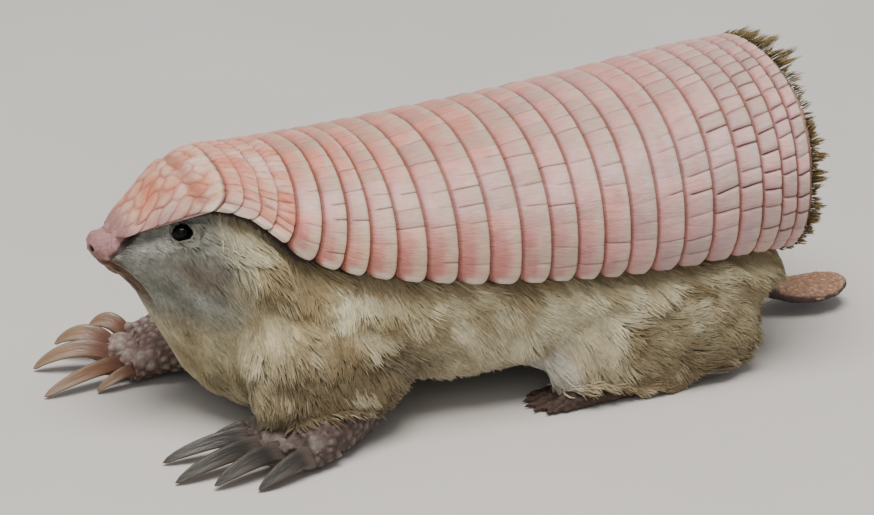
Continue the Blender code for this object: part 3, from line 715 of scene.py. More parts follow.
def add_head_shield():
    """The head shield: irregular rounded scutes, a crease across it and a rim that stands over the neck."""
    source = np.random.default_rng(SHIELD_SEED)
    seeds = shield_seeds(source)
    back_along, back_height = np.array(SHIELD_BACK).T
    along = np.concatenate((np.linspace(0.0, 1.0, SHIELD_SAMPLES), back_along))
    outer = np.arange(len(along)) < SHIELD_SAMPLES
    under = np.concatenate((np.zeros(SHIELD_SAMPLES), back_height))
    across, along = np.meshgrid(np.linspace(-1.0, 1.0, SHIELD_COLUMNS), along, indexing="ij")
    wide = np.abs(across)
    front = SHIELD_FRONT + 1.3 * wide**2
    station = front + (shield_rear(across) - front) * along
    angle = across * edge_angle(station)
    flat = stacked(angle * smooth(HALF_WIDTH, station), station)
    wobble = stacked(mottle(flat, 3.0, 5), mottle(flat, 3.0, 6))
    cell, inside = cell_pattern(flat + 0.28 * wobble, seeds)
    groove = bell(inside, 0.0, 0.2)
    tone = source.normal(0.0, 1.0, len(seeds))[cell]
    crease = bell(station - CREASE_STATION - 1.4 * wide**2, 0.0, 0.9) * fade(wide, 0.95, 0.75)
    rim = fade(along, 0.955, 1.0)
    lift = 0.10 + 0.06 * np.tanh(tone) - 0.24 * groove - 0.32 * crease
    lift = lift + 0.30 * fade(along, 0.86, 0.96) - 0.35 * rim
    edge_roll = 0.35 * fade(wide, 0.965, 1.0)
    sunk = 0.6 * fade(station, 5.2, SHIELD_FRONT) + 0.25 * fade(along, 0.03, 0.0)
    height = np.where(outer, lift * fade(station, 3.2, 5.0) - edge_roll - sunk, under)
    points = shell_point(station, angle, height)
    patches = np.clip(0.4 * tone + 0.55 * mottle(points, 4.0, 8), -1.0, 1.0)
    tints = painted(
        mix(SHIELD_PINK, SHIELD_CREAM, fade(inside, 0.1, 0.9)),
        (SHIELD_SALMON, share_of(patches) * 0.8 * fade(station, 5.0, 9.0)),
        (SHIELD_PALE, share_of(-patches) * 0.8),
        (MUZZLE_MAUVE, fade(wide, 0.5, 0.95) * fade(station, 15.0, 10.0) * 0.75),
        (GROOVE_BROWN, groove * (0.45 + 0.2 * np.tanh(tone))),
        (CREASE_BROWN, crease * 0.6),
        # a paler collar along the raised rear rim: partly cream horn, partly a painted highlight
        (COLLAR_CREAM_AND_HIGHLIGHT, fade(along, 0.84, 0.95) * 0.7),
        # painted highlight on the rounded lower corners of the rear rim
        (CORNER_HIGHLIGHT, fade(along, 0.8, 0.93) * fade(wide, 0.7, 0.92)),
        (NOSE_PINK, fade(station, 6.4, 4.0) * 0.9),
        # painted shadow along the rolled-down rear rim
        (RIM_SHADOW, rim * 0.8),
        (RIM_GREY, fade(wide, 0.97, 1.0) * 0.7 * fade(station, 4.5, 6.0)),
    )
    add_strip("scutes_head_shield", "head_shield", points, tints, "shield", flat)


def rim_point(half_turn, outward, behind, share=1.0):
    """Point of the shell's rear edge, half_turn 0 at the top and 1 at the bottom, negative on the right."""
    turn = math.pi * half_turn
    station = row_station(SHELL_END, np.minimum(1.0, 1.15 * np.sin(turn / 2) ** 2))
    points = shell_point(station, turn, outward, share)
    points[..., 1] += behind
    return points


def add_rump_plate():
    """The upright plate behind: rings of pillow-shaped scutes round a single middle one."""
    source = np.random.default_rng(RUMP_SEED)
    half_turns = np.linspace(-1.0, 1.0, RUMP_COLUMNS + 1)[:-1]
    shares = np.concatenate((np.linspace(1.0, CENTRE, RUMP_SAMPLES), np.linspace(CENTRE, 0.99, RUMP_BACK)))
    outer = np.arange(len(shares)) < RUMP_SAMPLES
    half_turn, share = np.meshgrid(half_turns, shares, indexing="ij")
    around = stacked(np.sin(math.pi * half_turn), np.cos(math.pi * half_turn))
    uneven = share * (1.0 + 0.02 * mottle(around, 1.2, 78))
    ring = np.clip(np.searchsorted(-RUMP_WALLS, -uneven, "right") - 1, 0, len(RUMP_SCUTES) - 1)
    counts = RUMP_SCUTES[ring]
    shift = source.uniform(0.0, 1.0, len(RUMP_WALLS))[ring]
    wobble = 0.004 * counts * mottle(around, 0.35, 79) * (counts > 1)
    place = (half_turn + 1.0) / 2.0 * counts + shift + wobble
    scute = np.floor(place).astype(int)
    to_ring = np.minimum(RUMP_WALLS[ring] - uneven, uneven - RUMP_WALLS[ring + 1]) * RUMP_RADIUS
    to_side = np.minimum(place - scute, scute + 1 - place) / counts * RUMP_GIRTH * np.maximum(share, 0.15)
    inside = np.minimum(to_ring, np.where(counts > 1, to_side, to_ring))
    groove = bell(inside, 0.0, 0.22) * fade(share, 0.03, 0.1)
    tone = source.normal(0.0, 1.0, (len(RUMP_WALLS), RUMP_TONES))[ring, scute % counts]
    lift = np.where(outer, 0.3 * fade(inside, 0.0, 0.9) - 0.3 * groove, -RUMP_DEPTH)
    points = rim_point(half_turn, -0.25, smooth(RUMP_BEHIND, share) + lift, share)
    patches = 0.3 * tone + 0.6 * mottle(points, 7.0, 76)
    tints = painted(
        mix(RUMP_PINK, RUMP_CREAM, fade(inside, 0.1, 1.1)),
        (RUMP_SALMON, np.clip(patches, 0.0, 0.55)),
        (RUMP_GREY, fade(np.abs(half_turn), 0.5, 0.9) * 0.6),
        (RUMP_GROOVE, groove * 0.75),
        (RUMP_RIM, fade(share, 0.96, 1.0) * 0.6),
    )
    relief = points[..., [0, 2]]
    add_strip("scutes_rump_plate", "rump_plate", points, tints, "scutes", relief, ring=True)


def add_shell():
    add_head_shield()
    for number in range(1, NUCHAL_COUNT + 1):
        add_nuchal_row(number)
    for number, (front, rear) in enumerate(band_bounds(), 1):
        add_band(number, front, rear)
    add_rump_plate()


# ---- skin


EYELID = (44, 37, 34)
EYE_RING = (124, 114, 100)
EYE_CREASE = (88, 76, 66)
NOSTRIL_SHADE = (48, 32, 30)
NOSE_UNDERSIDE_SHADE = (126, 88, 80)
LIP_BROWN = (92, 62, 46)
SHELL_EDGE_SHADOW = (60, 44, 42)
TAIL_UNDERSIDE_SHADE = (70, 54, 52)
EAR_BROWN = (128, 112, 96)
WRIST_DARK = (84, 62, 52)
WRIST_PALE = (132, 104, 88)
KNUCKLE_PALE = (164, 154, 142)
KNOB_GREY = (158, 152, 138)

# Node, size and height of its scales, colour between and on them, random seed
SCALES = (
    ("forefoot", 1.75, 0.5, (90, 66, 60), (184, 162, 152), 11),
    # the hind feet's brown is partly their own colour, partly painted shade beneath the body
    ("hindfoot", 1.6, 0.34, (44, 32, 25), (84, 65, 49), 12),
    ("tail", 0.95, 0.16, (134, 96, 74), (196, 164, 134), 13),
)
FEET = ("forefoot", "hindfoot")
CLAW_RINGS = (0.0, 0.4, 0.78, 1.0)  # where the CAD claw's rings of points lie along it
BARE_GIVE, LIMB_GIVE, TRUNK_GIVE = 0.02, 0.35, 0.5  # how far each round draws a point to its neighbours
EVENING = (0.5, -0.52)  # shrinks, then swells back
LIGHT_EVENING = (0.45, -0.46)

EYE_BLACK = 6.0
EYE_WAY = (0.93, -0.22, 0.30)  # out of the left eye
EYE_REACH = 3.0  # how far in or out from the eye its markings are made
FAR = 99.0
EYE_RADII = (1.35, 1.42, 1.2)  # of the eyeball: outward, back, up
EYE_DEPTH = 0.25  # how far the eyeball sits behind the CAD eye's middle
EYE_ROWS = 25
EYE_COLUMNS = 40
EYE_OPENING = (1.12, 0.87)  # half of its width and height
LIP_HEIGHT = 1.5  # of the line between the lips, over the belly's profile
NOSTRIL = (1.05, 0.35, 28.3)
NOSTRIL_SIZE = (0.62, 0.9, 0.5)
FINE_PLACES = [(tuple(to_animal(middle("eye_" + side))), reach) for side, _ in SIDES for reach in (3.6, 3.0)]
FINE_PLACES += [((0.0, 2.2, 27.0), 4.8)]  # the nose


class Skin:
    """The flesh as one closed mesh: points, triangles, edges, and the CAD node nearest each point."""

    def __init__(self):
        points, faces, owners = self.swollen_flesh()
        self.remesh(points, faces)
        tree = BVHTree.FromPolygons([Vector(point) for point in points], faces)
        nearest = [tree.find_nearest(Vector(point))[2] for point in self.points]
        self.owner = np.array(owners)[nearest]

    def swollen_flesh(self):
        """The flesh nodes, each swollen by CLOSING so that neighbours join."""
        points, faces, owners = [], [], []
        for index, node in enumerate(FLESH):
            shape = bmesh.new()
            shape.from_mesh(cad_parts[node].data)
            bmesh.ops.remove_doubles(shape, verts=shape.verts, dist=SAME_PLACE * MM)
            bmesh.ops.recalc_face_normals(shape, faces=shape.faces)
            shape.normal_update()
            base = len(points)
            out = swell(node)
            points += list(to_animal([vertex.co + vertex.normal * out * MM for vertex in shape.verts]))
            faces += [[base + vertex.index for vertex in face.verts] for face in shape.faces]
            owners += [index] * len(shape.faces)
            shape.free()
        return np.array(points), faces, owners

    def remesh(self, points, faces):
        """One closed mesh of small faces round all the flesh, finer at the eyes and the nose."""
        mesh = bpy.data.meshes.new("flesh")
        mesh.from_pydata([tuple(point) for point in points], [], faces)
        holder = bpy.data.objects.new("flesh", mesh)
        bpy.context.scene.collection.objects.link(holder)
        modifier = holder.modifiers.new("skin", "REMESH")
        modifier.mode = "VOXEL"
        modifier.voxel_size = VOXEL
        solved = holder.evaluated_get(bpy.context.evaluated_depsgraph_get())
        shape = bmesh.new()
        shape.from_mesh(bpy.data.meshes.new_from_object(solved))
        bpy.data.objects.remove(holder)
        for centre, reach in FINE_PLACES:
            near = {vertex for vertex in shape.verts if (vertex.co - Vector(centre)).length < reach}
            edges = [edge for edge in shape.edges if near.issuperset(edge.verts)]
            bmesh.ops.subdivide_edges(shape, edges=edges, cuts=1, use_grid_fill=True)
        bmesh.ops.triangulate(shape, faces=shape.faces)
        self.points = np.array([vertex.co for vertex in shape.verts])
        self.triangles = np.array([[vertex.index for vertex in face.verts] for face in shape.faces])
        self.edges = np.array([[vertex.index for vertex in edge.verts] for edge in shape.edges])
        shape.free()

    def relaxed(self, values, shares, rounds):
        """Values drawn towards their neighbours' mean by each share in turn, rounds times over."""
        first, second = self.edges.T
        count = len(self.points)
        degree = np.maximum(np.bincount(first, minlength=count) + np.bincount(second, minlength=count), 1)
        values = values.reshape(count, -1)
        for _ in range(rounds):
            for share in shares:
                around = np.stack([
                    np.bincount(first, column[second], count) + np.bincount(second, column[first], count)
                    for column in values.T
                ], 1) / degree[:, None]
                values = values + (around - values) * np.reshape(share, (-1, 1))
        return values

    def normals(self):
        a, b, c = (self.points[self.triangles[:, k]] for k in range(3))
        across = np.cross(b - a, c - a)
        total = np.stack([
            sum(np.bincount(self.triangles[:, k], across[:, axis], len(self.points)) for k in range(3))
            for axis in range(3)
        ], 1)
        return unit(total)

    def on(self, *names):
        """Whether each point is nearest a node whose name starts with one of the names."""
        chosen = [k for k, node in enumerate(FLESH) if node.startswith(names)]
        return np.isin(self.owner, chosen)


def swell(node):
    """How far a flesh node is swollen; the ears stay as they are."""
    return 0.0 if node.startswith("ear") else CLOSING


def eye_frame(side, sign):
    """Centre of the eye, and directions out of it, back along the head and up."""
    centre = to_animal(middle("eye_" + side))
    outward = unit(np.array(EYE_WAY) * (sign, 1.0, 1.0))
    back = unit(np.cross(np.array((0.0, 0.0, 1.0)), outward) * sign)
    up = np.cross(outward, back) * sign
    return centre, outward, back, up


def eye_distance(points, side, sign):
    """How far each point is from an eye's middle, and how high, as shares of the opening."""
    centre, outward, back, up = eye_frame(side, sign)
    offset = points - centre
    across, high = offset @ back / EYE_OPENING[0], offset @ up / EYE_OPENING[1]
    return np.where(np.abs(offset @ outward) < EYE_REACH, np.hypot(across, high), FAR), high


def nostril_distance(points, sign):
    """How far each point is from a nostril's middle, as a share of its size."""
    centre = np.array(NOSTRIL) * (sign, 1.0, 1.0)
    return np.linalg.norm((points - centre) / NOSTRIL_SIZE, axis=1)


def above_lips(points):
    """Height above the line between the lips."""
    _, station, z = points.T
    return z - (smooth(BELLY, station) + LIP_HEIGHT)


def lip_share(points):
    """1 on the bare brown lips, which run back from under the nose, and 0 away from them."""
    above = above_lips(points)
    return between(above, -0.5, -0.25, 0.25, 0.55) * fade(points[:, 1], 7.6, 6.2)


def below_shell(points):
    """How far each point is below the shell's lower edge, which runs on forward under the pad of the nose."""
    _, station, z = points.T
    muzzle = 27.2 + (station - 2.2) * 0.95
    return np.minimum(muzzle, smooth(EDGE, station)) - z


def cells(points, chosen, size, seed):
    """Small rounded cells over the chosen points: the share from the middle to the wall, the cell and the
    count of cells."""
    source = np.random.default_rng(seed)
    order = source.permutation(np.flatnonzero(chosen))
    leaders = points[order[spread_out(points[order], size)]]
    tree = kd_tree(leaders)
    inside, cell = np.zeros(len(points)), np.zeros(len(points), int)
    for k in order:
        (_, number, near), (_, _, far) = tree.find_n(Vector(points[k]), 2)
        inside[k] = near / max(near + far, 1e-6) * 2.0
        cell[k] = number
    return inside, cell, len(leaders)


def spread_out(points, size):
    """Numbers of the first points met in each cube of the size."""
    return np.unique(np.floor(points / size).astype(int), axis=0, return_index=True)[1]


def kd_tree(points):
    tree = KDTree(len(points))
    for k, point in enumerate(points):
        tree.insert(Vector(point), k)
    tree.balance()
    return tree


def sculpt_face(skin, lift):
    """Nostrils, lips, eyelids and the creases round the eye, as heights along the normal."""
    points, on_head = skin.points, skin.on("head")
    x, station, _ = points.T
    for _, sign in SIDES:
        nostril = nostril_distance(points, sign)
        lift -= 0.75 * np.exp(-1.6 * nostril**2)
        lift += 0.16 * bell(nostril, 1.55, 0.45)
    above = above_lips(points)
    on_muzzle = between(station, 0.9, 1.8, 7.2, 8.6) * on_head
    for height, centre, width in ((-0.34, 0.0, 0.22), (0.14, 0.55, 0.3), (0.22, -0.6, 0.4)):
        lift += height * bell(above, centre, width) * on_muzzle
    below = below_shell(points)
    lift += 0.4 * bell(below, 0.45, 0.4) * between(station, 2.2, 3.4, 24.0, 30.0) * (np.abs(x) > 1.0)
    lift += 1.15 * between(station, 1.9, 2.8, 3.8, 6.0) * fade(below, 0.2, -0.8) * on_head
    lift -= 0.22 * bell(below, -0.25, 0.25) * between(station, 1.6, 2.4, 4.5, 6.0)
    for side, sign in SIDES:
        distance, high = eye_distance(points, side, sign)
        under = fade(high, 0.2, -0.6)
        lift -= 1.3 * fade(distance, 1.02, 0.8)
        lift += 0.42 * bell(distance, 1.28, 0.24)
        lift -= 0.12 * bell(distance, 1.95, 0.25) * (0.3 + 0.7 * under)
        lift += 0.16 * bell(distance, 2.4, 0.28) * under
    return lift


def claw_measure(side, number):
    """A CAD claw's direction, and its rings of points from the root to the tip."""
    cad = node_points(f"claw_{side}_{number}")
    foot = node_points("forefoot_" + side)
    run = np.linalg.svd(cad - cad.mean(0))[2][0]
    run = run * np.sign((cad.mean(0) - foot.mean(0)) @ run)
    return run, np.array_split(cad[np.argsort(cad @ run)], len(CLAW_RINGS))


def knuckle_places():
    """Middles of the pale pads on top of the fingers, just behind the claws."""
    places = []
    for side, _ in SIDES:
        for number in CLAWS:
            run, rings = claw_measure(side, number)
            places.append(rings[0].mean(0) - run * 1.9 + (0.0, 0.0, 1.5))
    return places


def sculpt_scales(skin, lift):
    """Knobs on the hands, lumpier soles and toes, and the tail's scales; gives their tints too."""
    tints = np.zeros_like(skin.points)
    for name, size, height, gap, knob, seed in SCALES:
        chosen = skin.on(name)
        inside, cell, count = cells(skin.points, chosen, size, seed)
        tone = np.random.default_rng(seed).normal(0.0, 1.0, count)[cell]
        rise = (1.0 - inside**2) * (0.75 + 0.3 * np.tanh(tone))
        lift += np.where(chosen, height * (rise - 0.45), 0.0)
        knob = mix(knob, KNOB_GREY, np.clip(tone, 0.0, 0.8) * (name == "forefoot"))
        tints = np.where(chosen[:, None], mix(gap, knob, share_of(rise)), tints)
    for place in knuckle_places():
        pad = bell(np.linalg.norm(skin.points - place, axis=1), 0.0, 1.5) * skin.on("forefoot")
        lift += 0.4 * pad
        tints = mix(tints, KNUCKLE_PALE, pad * 0.75)
    # painted shade: the left hand's colours darkened by 0.28
    shaded_left_hand = skin.on("forefoot") & (skin.points[:, 0] > 0.0)
    return lift, tints * (1.0 - 0.28 * shaded_left_hand)[:, None]


def skin_tints(skin, normals, scaled):
    """Colours of the skin, which under the coat are the coat's own darkened as painted shade deep in the
    coat, with painted shade or shadow under the nose and tail, in the nostrils and under the shell's edge.
    """
    points, on_head = skin.points, skin.on("head")
    _, station, z = points.T
    below = below_shell(points)
    nose = np.maximum(fade(station, 2.5, 2.1), fade(below, 0.2, -0.3) * fade(station, 8.0, 6.0)) * on_head
    tints = painted(
        # the coat's colours, darkened as painted shade deep in the coat
        coat_tints(points) * 0.84,
        # the nose pad, darker on its downward-facing underside as painted shade
        (mix(NOSE_PINK, NOSE_UNDERSIDE_SHADE, fade(normals[:, 2], 0.0, -0.7)), nose),
        (LIP_BROWN, lip_share(points) * on_head * 0.9),
    )
    for side, sign in SIDES:
        distance, high = eye_distance(points, side, sign)
        tints = painted(
            tints,
            (EYE_RING, fade(distance, 2.6, 1.5) * 0.7),
            (EYELID, fade(distance, 1.45, 1.12) * 0.92),
            (EYE_CREASE, bell(distance, 1.95, 0.3) * fade(high, 0.1, -0.5) * 0.7),
            # painted shade in the hollow of each nostril
            (NOSTRIL_SHADE, fade(nostril_distance(points, sign), 1.25, 0.7)),
        )
    # Painted shadow: a dark line in the gap under the shell's lower edge, and the skin hidden under the shell
    # darkened as painted shade.
    reach = 0.5 + 0.6 * fade(station, 3.5, 5.5) - 0.5 * fade(station, 26.0, 34.0)
    line = between(below, -0.5, -0.1, reach, reach + 0.2) * between(station, 2.0, 2.8, 34.0, 60.0)
    hidden = fade(below, -0.4, -1.0) * fade(station, 6.0, 8.0)
    tints = mix(tints, SHELL_EDGE_SHADOW, np.maximum(line, hidden) * 0.9 * skin.on("head", "neck", "trunk"))
    tints = np.where(skin.on(*FEET, "tail")[:, None], scaled, tints)
    # painted shade on the tail wherever it does not face upward
    tail_underside_shade = skin.on("tail") * fade(normals[:, 2] + 0.1 * mottle(points, 2.0, 14), 0.8, 0.5)
    wrist = mix(WRIST_DARK, WRIST_PALE, 0.5 + 0.5 * mottle(points, 1.3, 15))
    return painted(
        tints,
        (TAIL_UNDERSIDE_SHADE, tail_underside_shade * 0.92),
        (EAR_BROWN, skin.on("ear") * 0.9),
        (wrist, skin.on("foreleg") * fade(z, 8.4, 6.4) * 0.9),
        # painted shade: the feet darker where they meet the floor
        (WRIST_DARK, skin.on(*FEET) * fade(z, 2.0, 0.3) * 0.7),
    )


def add_skin():
    """The skin: the flesh evened out, sunk under the coat by its depth, then sculpted."""
    skin = Skin()
    bare = skin.on(*FEET, "tail", "ear")
    slender = skin.on("foreleg", "hindleg", "head", "neck")
    give = np.where(bare, BARE_GIVE, np.where(slender, LIMB_GIVE, TRUNK_GIVE))
    give = skin.relaxed(give, (0.5,), 8)[:, 0]
    skin.points = skin.relaxed(skin.points, (give,), 40)
    skin.points = skin.relaxed(skin.points, EVENING, 5)
    depth = np.array([COAT_DEPTH[node] + swell(node) for node in FLESH])[skin.owner]
    station = skin.points[:, 1]
    furred = fade(station, 2.2, 4.0) * fade(below_shell(skin.points), -0.1, 0.5)
    depth = np.where(skin.on("head") & (station < 7.0), CLOSING + COAT_DEPTH["head"] * furred, depth)
    depth = skin.relaxed(depth, (0.5,), 25)[:, 0]
    depth = np.where(skin.on(*FEET), np.minimum(depth, CLOSING + 0.15), depth)
    lift, scaled = sculpt_scales(skin, -depth)
    lift = sculpt_face(skin, lift)
    skin.points = skin.points + skin.normals() * lift[:, None]
    skin.points[:, 2] = np.maximum(skin.points[:, 2], SKIN_LOW)
    skin.points = skin.relaxed(skin.points, LIGHT_EVENING, 1)
    normals = skin.normals()
    add_piece("skin", skin.points, skin.triangles, skin_tints(skin, normals, scaled), "skin", FLESH)
    return skin, normals


def add_eye(side, sign):
    """An eyeball: a flattened ball whose poles lie outward and inward."""
    centre, *ways = eye_frame(side, sign)
    polar = np.linspace(0.02, math.pi - 0.02, EYE_ROWS)[:, None]
    turn = np.arange(EYE_COLUMNS) * 2 * math.pi / EYE_COLUMNS
    ball = stacked(np.cos(polar), np.sin(polar) * np.cos(turn), np.sin(polar) * np.sin(turn))
    points = centre - ways[0] * EYE_DEPTH + ball * EYE_RADII @ np.array(ways)
    triangles = strip_triangles(EYE_ROWS, EYE_COLUMNS)
    tints = np.full_like(points, EYE_BLACK)
    add_piece("eyeball_" + side, points, triangles, tints, "eye", ["eye_" + side])

# ---- claws


# The left claws' horn and root are darker and their pale ridge and edges dimmer than the right ones': painted
# shade on that hand.
CLAW_HORN = {"left": ((42, 37, 33), (60, 56, 50)), "right": ((116, 82, 64), (140, 108, 82))}  # root and tip
CLAW_ROOT = {"left": (84, 72, 64), "right": (104, 70, 58)}
CLAW_SHINE = {"left": 0.22, "right": 0.55}  # paleness of a claw's ridge and edges
CLAW_UNDER = {"left": 0.5, "right": 0.75}  # browning of its underside
RIDGE_PALE = (158, 146, 126)
BLADE_PALE = (168, 156, 136)
HOLLOW_BROWN = (104, 62, 36)
UNDER_BROWN = (108, 76, 54)
CLAW_STEPS = 34
CLAW_AROUND = 28
RIDGE_HEIGHT = 0.3


def add_claw(side, number):
    """A curved claw with a ridge along its top and a hollow underneath, along the CAD claw's own run."""
    node = f"claw_{side}_{number}"
    run, rings = claw_measure(side, number)
    centres = np.array([ring.mean(0) for ring in rings])
    beside = unit(np.cross(run, (0.0, 0.0, 1.0)))
    upward = np.cross(beside, run)
    share = np.linspace(-0.1, 1.0, CLAW_STEPS)
    spine = np.stack([np.polyval(np.polyfit(CLAW_RINGS, line, 3), share) for line in centres.T], 1)
    taper = np.sqrt(np.clip((1.0 - share) / 0.06, 0.02, 1.0))
    blade = 1.0 + 0.32 * np.sin(math.pi * share_of(share) ** 1.4) ** 0.8
    half_width, half_depth = (
        smooth(
            [(at, np.abs((ring - ring.mean(0)) @ way).max()) for at, ring in zip(CLAW_RINGS, rings)],
            share,
        )
        for way in (beside, upward)
    )
    width = (half_width * blade * taper)[:, None]
    depth = (half_depth * 0.95 * taper)[:, None]
    turn = 2.0 * math.pi * np.arange(CLAW_AROUND) / CLAW_AROUND
    top, sideways = np.cos(turn), np.sin(turn)
    ridge = np.maximum(top, 0.0) ** 6 * RIDGE_HEIGHT
    hollow = (top < 0.0) * (1.0 - sideways**2) * 0.85
    high = signed_power(top, 1.15) + ridge
    hollowed = hollow * between(share, 0.02, 0.3, 0.8, 1.0)[:, None]
    pinch = 1.0 - 0.5 * np.maximum(top, 0.0)
    points = (
        spine[:, None]
        + beside * (width * sideways * pinch)[..., None]
        + upward * (depth * (high + hollowed))[..., None]
    )
    points[..., 2] = np.maximum(points[..., 2], CLAW_LOW)
    places = stacked(turn * 1.4, share[:, None] * 12.0)
    streaks = mottle(places * (1.0, 0.12), 0.9, number + 7)
    along = np.broadcast_to(share[:, None], streaks.shape)
    edges = fade(np.abs(sideways), 0.8, 0.97) * (top > -0.1)
    tints = painted(
        mix(*CLAW_HORN[side], share_of(fade(along, 0.1, 0.9) + 0.25 * streaks)),
        (RIDGE_PALE, ridge / RIDGE_HEIGHT * CLAW_SHINE[side]),
        (BLADE_PALE, edges * fade(along, 0.1, 0.5) * CLAW_SHINE[side]),
        (HOLLOW_BROWN, hollowed * 1.1),
        (UNDER_BROWN, fade(high, 0.2, -0.4) * CLAW_UNDER[side]),
        (CLAW_ROOT[side], fade(along, 0.2, 0.0) * 0.85),
    )
    add_strip("horn_" + node, node, points, tints, "claw", places)


# ---- coat


WOOL_DARK = (150, 133, 98)
WOOL_PALE = (192, 182, 148)
WOOL_BROWN = (140, 120, 84)
LOW_SHADE = (64, 50, 32)
FLANK_PALE = (196, 190, 170)
FACE_DARK = (132, 131, 120)
FACE_PALE = (160, 160, 150)
CHIN_BROWN = (112, 84, 62)
CHEEK_BROWN = (110, 90, 68)
UPPER_CREAM = (208, 200, 168)
UNDER_SHELL_SHADOW = (116, 98, 70)
REAR_BROWN = (136, 120, 88)
WRIST_BROWN = (124, 104, 78)
HEEL_BROWN = (120, 98, 70)
KNEE_SILK = (196, 192, 182)
STREAK_PALE = (220, 212, 182)
CHEEK = (8.5, 14.0, 26.0)
CHEEK_SIZE = (5.0, 3.4, 2.4)

LONG_STEPS = (0.0, 0.3, 0.66)
SHORT_STEPS = (0.0, 0.45)
LOCK_GIRTH = ((0.0, 0.6), (0.25, 1.0), (0.6, 0.85), (1.0, 0.2))
LOCK_CORNERS = np.radians((90.0, 210.0, 330.0))
SOFTNESS = 0.66  # how much the shading of a lock follows the skin that it grows from
BAKE_PATCH = 0.003
PIECE_TRIANGLES = 190000
COAT_SEED = 2024
DENSITY = 11.0  # locks to the square millimetre
FACE_DENSITY = 30.0
BELLY_DENSITY = 3.0
TUFT_SIZES = (5.0, 1.9)
AXIS_HEIGHT = 22.0  # of the body's long axis in the unwrap
BODY_LENGTH = 112.0
LEG_HEIGHT = 24.0


def coat_tints(points):
    """The coat's colours: grey-cream face, cream wool, painted shade low on the shoulders and hips, a painted
    shadow line under the shell and browner wrists.
    """
    x, station, z = points.T
    wide = np.abs(x)
    patches = mottle(points, 6.5, 21) * 0.6 + mottle(points, 3.5, 22) * 0.3
    flank = between(station, 40.0, 50.0, 70.0, 80.0)
    low = 0.44 + 0.18 * fade(station, 50.0, 40.0) - 0.32 * flank
    low = low * fade(wide, 13.0, 19.0) * fade(z, 20.0, 14.0) * fade(station, 16.0, 24.0)
    pale = share_of(0.5 - 0.5 * patches + 0.4 * mottle(points, 5.0, 24))
    tints = painted(
        mix(WOOL_DARK, WOOL_PALE, share_of(0.5 + 0.6 * patches)),
        (WOOL_BROWN, np.clip(-0.2 - 0.75 * mottle(points, 12.0, 23), 0.0, 0.6)),
        (LOW_SHADE, low),
        (FLANK_PALE, flank * fade(z, 22.0, 16.0) * 0.3),
        (mix(FACE_DARK, FACE_PALE, pale), fade(station, 21.0, 13.0) * fade(z, 15.0, 22.0)),
        (CHIN_BROWN, fade(above_lips(points), 1.5, 0.5) * fade(station, 8.6, 6.8) * 0.8),
    )
    for _, sign in SIDES:
        cheek = np.linalg.norm((points - np.array(CHEEK) * (sign, 1.0, 1.0)) / CHEEK_SIZE, axis=1)
        tints = mix(tints, CHEEK_BROWN, bell(cheek, 0.0, 1.0) * 0.6)
    nape = between(station, 12.0, 16.0, 25.0, 30.0) * fade(z, 20.0, 25.0)
    below = smooth(EDGE, station) - z
    outer = fade(wide, 8.0, 14.0)
    upper = fade(below, 12.0, 5.0) * fade(station, 26.0, 36.0) * outer
    wrist = fade(z, 7.0, 4.2) * between(station, 14.0, 18.0, 38.0, 44.0) * fade(wide, 8.0, 13.0)
    return painted(
        tints * (1.0 - 0.09 * nape)[..., None],
        (UPPER_CREAM, upper * np.clip(0.45 + 0.5 * patches, 0.0, 0.75)),
        # painted shadow: the coat darker just under the shell's lower edge
        (UNDER_SHELL_SHADOW, fade(below, 2.2, 0.6) * fade(station, 14.0, 26.0) * outer * 0.7),
        (REAR_BROWN, fade(station, 84.0, 102.0) * 0.5),
        (WRIST_BROWN, wrist * 0.6),
        # the heel fur browner towards the floor: partly its own colour, partly painted shade
        (HEEL_BROWN, fade(z, 6.0, 2.5) * fade(station, 62.0, 68.0) * 0.5),
        (KNEE_SILK, between(station, 58.0, 61.0, 66.0, 69.0) * fade(z, 12.0, 8.0) * 0.7),
    )


def lock_triangles(rings):
    """Triangles of a three-sided spike: its root's cap, its sides and the fan to its tip."""
    made = [(1, 2, 0)]
    for ring in range(rings - 1):
        for k in range(3):
            a, b = ring * 3 + k, ring * 3 + (k + 1) % 3
            made += [(b + 3, b, a), (a + 3, b + 3, a)]
    made += [(rings * 3, (rings - 1) * 3 + (k + 1) % 3, (rings - 1) * 3 + k) for k in range(3)]
    return np.array(made)


